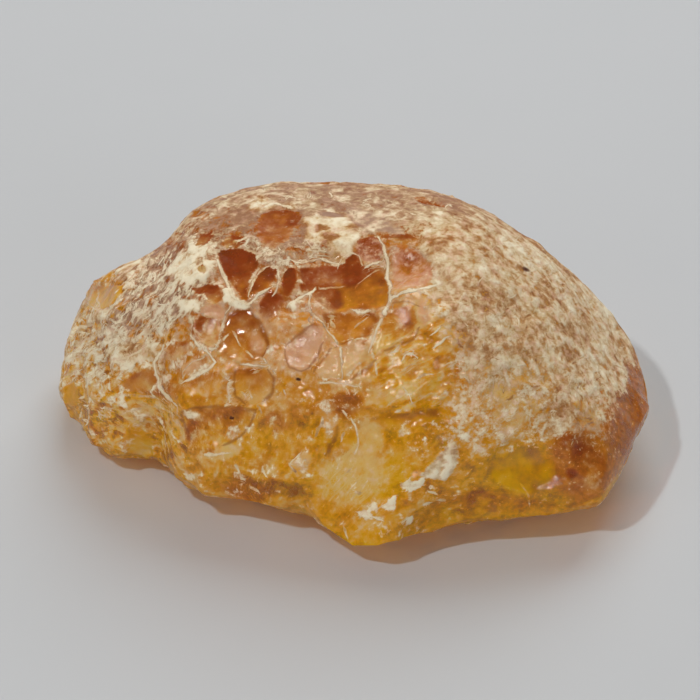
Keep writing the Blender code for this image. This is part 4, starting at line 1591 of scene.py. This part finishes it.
@dataclass
class Graph:
    """A node tree being built, with a short way to add each kind of node that the finishes use."""

    tree: bpy.types.NodeTree

    def add(self, kind: str, inputs: dict[str | int, object], **settings: object) -> bpy.types.Node:
        """Adds a node.

        Args:
            kind: Its type without the ShaderNode prefix.
            inputs: Sockets to join or values to set, by name or number.
            settings: Properties of the node.

        Returns:
            The node.
        """
        node = self.tree.nodes.new("ShaderNode" + kind)
        for name, value in settings.items():
            setattr(node, name, value)
        for name, value in inputs.items():
            if isinstance(value, bpy.types.NodeSocket):
                self.tree.links.new(value, node.inputs[name])
            else:
                node.inputs[name].default_value = value
        return node

    def attribute(self, layer: Layer) -> Socket:
        """The level of a layer of the skin."""
        return self.add("Attribute", {}, attribute_name=layer.value).outputs["Fac"]

    def maths(self, operation: str, *values: object) -> Socket:
        """The result of a calculation on one, two or three values."""
        return self.add("Math", dict(enumerate(values)), operation=operation).outputs[0]

    def times(self, first: object, second: object) -> Socket:
        """The product of two values."""
        return self.maths("MULTIPLY", first, second)

    def plus(self, total: object, *terms: tuple[object, float]) -> Socket:
        """A sum of a value and of others, each times its weight.

        Args:
            total: The first value.
            terms: The others, each with its weight.

        Returns:
            The sum.
        """
        for value, weight in terms:
            total = self.maths("MULTIPLY_ADD", value, weight, total)
        return total

    def centred(self, value: Socket) -> Socket:
        """A value of 0 to 1 as its distance from a half."""
        return self.maths("SUBTRACT", value, 0.5)

    def blend(self, share: Socket, first: Socket, second: Socket) -> Socket:
        """A mix of two values by a share."""
        return self.add("Mix", {0: share, 2: first, 3: second}, data_type="FLOAT").outputs[0]

    def noise(self, place: Socket, scale: float, detail: float, roughness: float = 0.55) -> Socket:
        """Noise from 0 to 1 at a place, with scale features to a metre."""
        inputs = {"Vector": place, "Scale": scale, "Detail": detail, "Roughness": roughness}
        return self.add("TexNoise", inputs).outputs["Fac"]

    def cells(self, place: Socket, scale: float) -> Socket:
        """A value from 0 to 1 for each cell of a broken pattern, with scale cells to a unit of place."""
        colour = self.add("TexVoronoi", {"Vector": place, "Scale": scale}).outputs["Color"]
        return self.add("SeparateColor", {0: colour}).outputs[0]

    def step(self, value: Socket, low: float, high: float) -> Socket:
        """A smooth step from 0 at low to 1 at high."""
        inputs = {"Value": value, "From Min": low, "From Max": high}
        return self.add("MapRange", inputs, interpolation_type="SMOOTHSTEP").outputs["Result"]

    def range(self, value: Socket, low: float, high: float) -> Socket:
        """A value of 0 to 1 stretched from low to high."""
        return self.add("MapRange", {"Value": value, "To Min": low, "To Max": high}).outputs["Result"]

    def bump(self, height: Socket, strength: float, distance: float) -> Socket:
        """A normal tilted by a height of 0 to 1 over a distance in metres."""
        return self.add("Bump", {"Strength": strength, "Distance": distance, "Height": height}).outputs[0]

    def mix(self, share: object, first: object, second: object) -> Socket:
        """A mix of two colours by a share."""
        return self.add("Mix", {0: share, 6: first, 7: second}, data_type="RGBA").outputs[2]

    def ramp(self, share: Socket, stops: tuple[tuple[float, Colour], ...]) -> Socket:
        """A colour read from a ramp by a share.

        Args:
            share: Where to read it.
            stops: At least two places on the ramp and their colours, from 0 to 1.

        Returns:
            The colour.
        """
        node = self.add("ValToRGB", {0: share})
        elements = node.color_ramp.elements
        elements[0].position, elements[0].color = stops[0]
        elements[1].position, elements[1].color = stops[-1]
        for position, colour in stops[1:-1]:
            elements.new(position).color = colour
        return node.outputs["Color"]


@dataclass(frozen=True)
class MottleGroup:
    """A node group of fine mottling that the amber and the floor share, built once."""

    name: str = "fine_mottle"

    def tree(self) -> bpy.types.NodeTree:
        """The group, made the first time it is asked for.

        Returns:
            A tree with the inputs Place, Scale and Strength, and the outputs Share and Height.
        """
        known = bpy.data.node_groups.get(self.name)
        if known is not None:
            return known
        tree = bpy.data.node_groups.new(self.name, "ShaderNodeTree")
        tree.interface.new_socket("Place", in_out="INPUT", socket_type="NodeSocketVector")
        scale = tree.interface.new_socket("Scale", in_out="INPUT", socket_type="NodeSocketFloat")
        scale.default_value = 1000.0
        strength = tree.interface.new_socket("Strength", in_out="INPUT", socket_type="NodeSocketFloat")
        strength.default_value = 1.0
        for name in ("Share", "Height"):
            tree.interface.new_socket(name, in_out="OUTPUT", socket_type="NodeSocketFloat")
        graph = Graph(tree)
        given = tree.nodes.new("NodeGroupInput")
        result = tree.nodes.new("NodeGroupOutput")
        noise = graph.add("TexNoise", {"Vector": given.outputs["Place"], "Scale": given.outputs["Scale"],
                                       "Detail": 5.0, "Roughness": 0.62}).outputs["Fac"]
        centred = graph.centred(noise)
        share = graph.maths("MULTIPLY_ADD", centred, given.outputs["Strength"], 0.5)
        tree.links.new(share, result.inputs["Share"])
        tree.links.new(graph.times(centred, given.outputs["Strength"]), result.inputs["Height"])
        return tree

    def place(self, graph: Graph, place: Socket, scale: float, strength: float = 1.0) -> bpy.types.Node:
        """Puts the group into a material with its own scale and strength.

        Args:
            graph: The material's graph.
            place: The coordinates to read.
            scale: How many features there are to a unit of place.
            strength: How far Share and Height go from their middle.

        Returns:
            The group's node.
        """
        node = graph.tree.nodes.new("ShaderNodeGroup")
        node.node_tree = self.tree()
        graph.tree.links.new(place, node.inputs["Place"])
        node.inputs["Scale"].default_value = scale
        node.inputs["Strength"].default_value = strength
        return node


@dataclass(frozen=True)
class AmberFinish:
    """Clear resin with some haze, and over it a crust, by the levels of the skin's layers."""

    grain_scale: float = 2300.0
    blotch_scale: float = 800.0
    wide_scale: float = 330.0
    fleck_scale: float = 1300.0
    cloud_scale: float = 300.0
    bump_height: float = 0.00012
    crust_bump: float = 0.9
    clear_bump: float = 0.6
    fibre_edge: tuple[float, float] = (0.09, 0.2)
    crease_edge: tuple[float, float] = (2.4, 0.2)
    line_edge: tuple[float, float] = (1.6, 0.5)
    crust_edge: tuple[float, float] = (0.32, 0.7)
    soot_edge: tuple[float, float] = (0.3, 0.6)
    haze_edge: tuple[float, float] = (-0.1, 0.6)
    clear_roughness: tuple[float, float] = (0.03, 0.14)
    hazy_roughness: tuple[float, float] = (0.04, 0.16)
    crust_roughness: tuple[float, float] = (0.6, 0.95)
    scatter_share: float = 0.35
    scatter_radius: tuple[float, float, float] = (1.0, 0.4, 0.12)
    scatter_reach: float = 0.003
    crust_ior: float = 1.45
    ior: float = 1.54
    clear_share: float = 0.85
    absorption: Colour = (0.8, 0.55, 0.03, 1.0)
    density: float = 80.0
    clear_shine: float = 0.36
    splinters: float = 0.8
    shards: float = 1200.0
    chalk_and_glint_white: float = 0.92
    hazy_shine: float = 0.26
    tones: tuple[tuple[float, Colour], ...] = (
        (0.0, linear(255, 218, 60)),
        (0.3, linear(250, 202, 70)),
        (0.6, linear(236, 166, 64)),
        (1.0, linear(200, 112, 40)),
    )
    hazes: tuple[tuple[float, Colour], ...] = (
        (0.0, linear(227, 170, 0)),
        (0.3, linear(226, 157, 12)),
        (0.6, linear(202, 124, 32)),
        (0.85, linear(166, 84, 26)),
        (1.0, linear(152, 66, 20)),
    )
    milk: Colour = linear(231, 204, 134)
    crusts: tuple[tuple[float, Colour], ...] = (
        (0.1, linear(160, 104, 54)),
        (0.25, linear(186, 136, 84)),
        (0.4, linear(208, 167, 119)),
        (0.52, linear(226, 194, 150)),
        (0.66, linear(238, 217, 181)),
        (0.85, linear(250, 233, 200)),
        (1.0, linear(255, 243, 214)),
    )
    mauve: Colour = linear(172, 140, 122)
    pink: Colour = linear(228, 176, 148)
    rose: Colour = linear(235, 201, 164)
    olive: Colour = linear(196, 168, 108)
    crust_glow: Colour = (0.22, 0.15, 0.07, 1.0)
    crease: Colour = linear(158, 88, 30)
    soot: Colour = linear(84, 44, 28)

    def material(self) -> bpy.types.Material:
        """Builds the material.

        Returns:
            A material that reads the skin's layers as attributes and Object coordinates for its grain.
        """
        made = bpy.data.materials.new("amber")
        made.use_nodes = True
        made.node_tree.nodes.clear()
        graph = Graph(made.node_tree)
        place = graph.add("TexCoord", {}).outputs["Object"]
        mottle = MottleGroup()
        grain = mottle.place(graph, place, self.grain_scale)
        blotch = mottle.place(graph, place, self.blotch_scale)
        wide = mottle.place(graph, place, self.wide_scale).outputs
        flow = graph.add("Attribute", {}, attribute_name=FLOW).outputs["Vector"]
        strand = mottle.place(graph, flow, 1.0)
        fine = grain.outputs["Height"]
        coarse = blotch.outputs["Height"]

        # Grain that follows the streaks, splinters, shards, and flecks that are pinkish where pale
        height = graph.blend(graph.attribute(Layer.STRANDS), fine, strand.outputs["Height"])
        fibre = graph.step(height, *self.fibre_edge)
        own = graph.centred(graph.cells(flow, self.splinters))
        splinter = graph.times(own, graph.attribute(Layer.STRANDS))
        shard = graph.centred(graph.cells(place, self.shards))
        pinkish = graph.noise(place, self.fleck_scale, 3.0)
        fleck = graph.centred(pinkish)
        # Hairlines: brown creases, and white lines with ragged sides, which are chalk or painted highlights
        side = graph.maths("ABSOLUTE", graph.attribute(Layer.VEIN_SIDE))
        near = graph.attribute(Layer.VEIN_NEAR)
        crease = graph.times(graph.step(side, *self.crease_edge), graph.times(near, -0.9))
        crease = graph.maths("MAXIMUM", crease, 0.0)
        side = graph.plus(side, (fine, 2.6), (coarse, 3.0), (fleck, 2.4))
        line = graph.times(graph.step(side, *self.line_edge), graph.maths("MAXIMUM", near, 0.0))
        # Where the crust holds, and how pale it is
        breakup = graph.plus(graph.attribute(Layer.CRUST), (height, 1.2), (splinter, 0.12), (fine, 0.5),
                             (coarse, 1.2), (fleck, 0.5), (line, 0.9))
        crust = graph.step(breakup, *self.crust_edge)
        rough = graph.plus(graph.times(height, 0.8), (splinter, 0.18))
        value = graph.maths("MULTIPLY_ADD", rough, graph.attribute(Layer.GRIT), graph.attribute(Layer.CHALK))
        value = graph.blend(line, value, graph.times(line, self.chalk_and_glint_white))
        value = graph.plus(value, (crease, -0.35), (fine, 0.2), (coarse, 1.5), (fleck, 0.7),
                           (wide["Height"], 1.2))
        soot = graph.step(graph.attribute(Layer.SOOT), *self.soot_edge)
        mauve = graph.attribute(Layer.MAUVE)

        crust_colour = graph.ramp(value, self.crusts)
        dull = graph.step(value, 1.05, 0.65)
        blush = graph.times(graph.step(pinkish, 0.48, 0.66), graph.times(dull, 0.45))
        crust_colour = graph.mix(graph.plus(blush, (mauve, 0.12)), crust_colour, self.pink)
        moss = graph.times(graph.step(wide["Share"], 0.5, 0.62), graph.times(dull, 0.25))
        crust_colour = graph.mix(moss, crust_colour, self.olive)
        stain = graph.times(mauve, graph.step(value, 0.85, 0.3))
        crust_colour = graph.mix(graph.times(stain, 0.8), crust_colour, self.mauve)
        crust_colour = graph.mix(soot, crust_colour, self.soot)

        # The resin's tone, its haze, and the milk and the pale pink that haze brings
        clouds = graph.centred(graph.noise(place, self.cloud_scale, 4.0))
        shade = graph.plus(graph.attribute(Layer.TONE), (clouds, 0.3), (wide["Height"], 0.5))
        clear_colour = graph.ramp(shade, self.tones)
        grit = graph.plus(graph.times(fibre, 0.5), (height, 0.5), (splinter, 0.12), (shard, 0.14),
                          (fleck, 0.8))
        haze = graph.maths("MULTIPLY_ADD", grit, graph.attribute(Layer.GRIT), graph.attribute(Layer.HAZE))
        haze = graph.plus(haze, (clouds, 0.6), (line, 0.6), (coarse, 0.4))
        milk = graph.mix(mauve, self.milk, self.pink)
        milky = graph.plus(graph.times(graph.step(haze, 0.4, 1.1), 0.65), (graph.step(haze, 0.62, 0.8), 0.12))
        hazy_colour = graph.mix(milky, graph.ramp(shade, self.hazes), milk)
        flush = graph.times(graph.step(pinkish, 0.5, 0.68), milky)
        hazy_colour = graph.mix(graph.times(flush, 0.7), hazy_colour, self.rose)
        hazy_colour = graph.mix(crease, hazy_colour, self.crease)
        hazy_colour = graph.mix(soot, hazy_colour, self.soot)
        hazy_share = graph.maths("MAXIMUM", graph.step(haze, *self.haze_edge), crease)
        hazy_roughness = graph.range(blotch.outputs["Share"], *self.hazy_roughness)
        hazy_roughness = graph.plus(hazy_roughness, (milky, 0.15))

        skin_bump = graph.bump(value, self.crust_bump, self.bump_height)
        ripple = graph.plus(coarse, (fine, 0.4))
        ripple = graph.times(ripple, graph.maths("MINIMUM", graph.attribute(Layer.GRIT), 1.0))
        clear_bump = graph.bump(ripple, self.clear_bump, self.bump_height)
        clear = graph.add("BsdfPrincipled", {
            "Base Color": clear_colour,
            "Roughness": graph.range(blotch.outputs["Share"], *self.clear_roughness),
            "IOR": self.ior, "Transmission Weight": self.clear_share, "Specular IOR Level": self.clear_shine,
            "Normal": clear_bump})
        hazy = graph.add("BsdfPrincipled", {
            "Base Color": hazy_colour, "Roughness": hazy_roughness,
            "IOR": self.ior, "Specular IOR Level": self.hazy_shine, "Normal": clear_bump,
            "Subsurface Weight": self.scatter_share, "Subsurface Radius": self.scatter_radius,
            "Subsurface Scale": self.scatter_reach})
        dry = graph.add("BsdfPrincipled", {
            "Base Color": crust_colour,
            "Roughness": graph.range(grain.outputs["Share"], *self.crust_roughness),
            "IOR": self.crust_ior, "Normal": skin_bump})
        resin = graph.add("MixShader", {0: hazy_share, 1: clear.outputs[0], 2: hazy.outputs[0]})
        skin = graph.add("MixShader", {0: crust, 1: resin.outputs[0], 2: dry.outputs[0]})
        let_in = graph.mix(crust, graph.mix(0.35, clear_colour, self.soot), self.crust_glow)
        through = graph.add("BsdfTransparent", {"Color": let_in})
        lamp = graph.add("LightPath", {}).outputs["Is Shadow Ray"]
        whole = graph.add("MixShader", {0: lamp, 1: skin.outputs[0], 2: through.outputs[0]})
        inner = graph.add("VolumeAbsorption", {"Color": self.absorption, "Density": self.density})
        out = graph.add("OutputMaterial", {"Surface": whole.outputs[0], "Volume": inner.outputs[0]})
        out.target = "ALL"
        return made


@dataclass
class AmberLump:
    """The lump itself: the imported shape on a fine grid, with its crust raised and its windows cut."""

    view: PictureView
    shape: LumpShape = field(default_factory=LumpShape)
    finish: AmberFinish = field(default_factory=AmberFinish)
    squares: int = 128
    front_pull: float = 0.4
    crust_thickness: float = 0.07
    chalk_thickness: float = 0.03
    scoop_depth: float = 0.9
    nick_depth: float = 0.35
    fleck_depth: float = 0.12
    broad_height: float = 0.3
    broad_size: float = 5.0
    grain_size: float = 0.9
    soot_depth: float = 0.1

    def relief(self, skin: Skin) -> Array:
        """How far the skin stands out at each point, in millimetres.

        The sum of broad unevenness, scoops and nicks where resin is bare, the crust's thickness where it
        holds, chalk on top of it, and grain.

        Args:
            skin: The painted skin.

        Returns:
            Millimetres, above 0 outwards.
        """
        broad = layered_noise(skin.points, self.broad_size, Seed.BROAD) - 0.5
        grain = layered_noise(skin.points, self.grain_size, Seed.GRAIN) - 0.5
        crust = smooth_step(skin.layers[Layer.CRUST] + 0.5 * grain, 0.35, 0.6)
        chalk = smooth_step(skin.layers[Layer.CHALK], 0.4, 0.7)
        bare = (1.0 - 0.75 * smooth_step(skin.layers[Layer.CRUST], 0.5, 0.8)) * (1.0 - 0.85 * skin.cleared)
        for zone in SMOOTHED:
            bare = bare * (1.0 - zone.strength * skin.oval(zone))
        return (
            self.broad_height * broad
            + bare * self.scoop_depth * (skin.scoops - 0.3)
            + bare * (self.nick_depth * (skin.nicks - 0.3) + self.fleck_depth * (skin.flecks - 0.3))
            + skin.raised * (1.0 - 0.7 * skin.cleared)
            + self.crust_thickness * crust * (0.8 + 2.0 * grain)
            + self.chalk_thickness * chalk
            - self.soot_depth * skin.layers[Layer.SOOT]
        )

    def build(self) -> bpy.types.Object:
        """Makes the lump's mesh, with the skin's layers as attributes, and dresses it.

        Returns:
            The object, which rides on the lump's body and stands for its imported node.
        """
        directions, quads = cube_grid(self.squares)
        directions = directions + self.front_pull * self.view.axes()[2]
        directions /= np.linalg.norm(directions, axis=1, keepdims=True)
        lowest, highest = (np.array(corner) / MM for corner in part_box(NODE))
        points = self.shape.points(directions)
        points[:, 2] = np.maximum(points[:, 2], 0.0)
        points += (lowest + highest) / 2.0 - (points.min(axis=0) + points.max(axis=0)) / 2.0
        skin = Skin(points, outward_normals(points, quads), self.view)
        skin.paint()
        skin.points = skin.points + self.relief(skin)[:, None] * skin.normals
        skin.points[:, 2] = np.maximum(skin.points[:, 2], 0.0)

        mesh = bpy.data.meshes.new("amber_lump")
        mesh.from_pydata(skin.points * MM, [], quads)
        mesh.shade_smooth()
        for layer, levels in skin.layers.items():
            kept = mesh.attributes.new(layer.value, "FLOAT", "POINT")
            kept.data.foreach_set("value", levels.astype(np.float32))
        strands = mesh.attributes.new(FLOW, "FLOAT_VECTOR", "POINT")
        strands.data.foreach_set("vector", skin.flow.astype(np.float32).ravel())
        mesh.materials.append(self.finish.material())
        mesh.update()
        lump = bpy.data.objects.new("amber_lump", mesh)
        bpy.context.scene.collection.objects.link(lump)
        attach(lump, BODY)
        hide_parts(NODE)
        return lump


@dataclass(frozen=True)
class Studio:
    """A plain pale floor and soft light, which aren't part of the lump."""

    floor_size: float = 3.0
    floor_gap: float = 0.02
    floor_colour: Colour = linear(208, 212, 217)
    sky: Colour = (*WHITE_LIGHT, 1.0)
    sky_strength: float = 0.14
    lit_point: tuple[float, float, float] = (0.0, 0.0, 0.01)

    def floor_material(self) -> bpy.types.Material:
        """Pale matt paint with a faint mottle in its colour, roughness and height.

        Returns:
            The material.
        """
        made = bpy.data.materials.new("pale_floor")
        made.use_nodes = True
        graph = Graph(made.node_tree)
        shader = made.node_tree.nodes["Principled BSDF"]
        place = graph.add("TexCoord", {}).outputs["Object"]
        mottle = MottleGroup().place(graph, place, 60.0, 0.3)
        share = mottle.outputs["Share"]
        darker = tuple(0.93 * value for value in self.floor_colour[:3]) + (1.0,)
        bump = graph.bump(mottle.outputs["Height"], 0.05, 0.0005)
        links = made.node_tree.links
        links.new(graph.mix(share, darker, self.floor_colour), shader.inputs["Base Color"])
        links.new(graph.range(share, 0.45, 0.6), shader.inputs["Roughness"])
        links.new(bump, shader.inputs["Normal"])
        return made

    def add_floor(self) -> bpy.types.Object:
        """Adds the floor, just under the lump.

        Returns:
            The floor, which is stage.
        """
        half = self.floor_size / 2.0
        drop = -self.floor_gap * MM
        mesh = bpy.data.meshes.new("floor")
        mesh.from_pydata([(-half, -half, drop), (half, -half, drop), (half, half, drop), (-half, half, drop)],
                         [], [(0, 1, 2, 3)])
        mesh.materials.append(self.floor_material())
        floor = bpy.data.objects.new("floor", mesh)
        bpy.context.scene.collection.objects.link(floor)
        return floor

    def add_lamp(self, name: str, place: tuple[float, float, float], size: float, watts: float,
                 colour: tuple[float, float, float], shines: bool = True) -> bpy.types.Object:
        """Adds a square soft lamp that looks at the lump.

        Args:
            name: The lamp's name.
            place: Where it hangs, in metres.
            size: Its side in metres.
            watts: Its power.
            colour: Its tint.
            shines: Whether it is seen in reflections.

        Returns:
            The lamp object.
        """
        data = bpy.data.lights.new(name, "AREA")
        data.size = size
        data.energy = watts
        data.color = colour
        lamp = bpy.data.objects.new(name, data)
        lamp.location = place
        lamp.rotation_mode = "QUATERNION"
        lamp.visible_glossy = shines
        lamp.rotation_quaternion = (Vector(place) - Vector(self.lit_point)).to_track_quat("Z", "Y")
        bpy.context.scene.collection.objects.link(lamp)
        return lamp

    def build(self) -> None:
        """Adds the floor, the sky and the lamps."""
        self.add_floor()
        world = bpy.data.worlds.new("studio")
        world.use_nodes = True
        sky = world.node_tree.nodes["Background"]
        sky.inputs["Color"].default_value = self.sky
        sky.inputs["Strength"].default_value = self.sky_strength
        bpy.context.scene.world = world
        self.add_lamp("back_light", (0.15, 0.55, 0.6), 0.6, 4.5, WHITE_LIGHT, False)
        self.add_lamp("key_light", (-0.4, -0.35, 0.8), 0.05, 2.9, (1.0, 0.97, 0.93))
        glint = self.add_lamp("glint_light", (0.1, -0.6, 0.3), 0.03, 1.0, WHITE_LIGHT)
        glint.visible_diffuse = False
        self.add_lamp("left_light", (-0.5, -0.5, 0.3), 0.4, 0.6, (1.0, 0.88, 0.7), False)
        self.add_lamp("fill_light", (0.5, -0.8, 0.35), 0.5, 1.35, WHITE_LIGHT, False)
        bpy.context.scene.view_settings.view_transform = "Standard"


def main() -> None:
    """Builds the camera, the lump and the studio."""
    logging.basicConfig(level=logging.INFO, format="%(name)s: %(message)s")
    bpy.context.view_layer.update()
    view = PictureView()
    view.add_camera()
    lump = AmberLump(view).build()
    LOG.info("%s: %d faces, in place of %s", lump.name, len(lump.data.polygons), NODE)
    Studio().build()
    LOG.info("floor and lamps are in place")


if __name__ == "__main__":
    main()
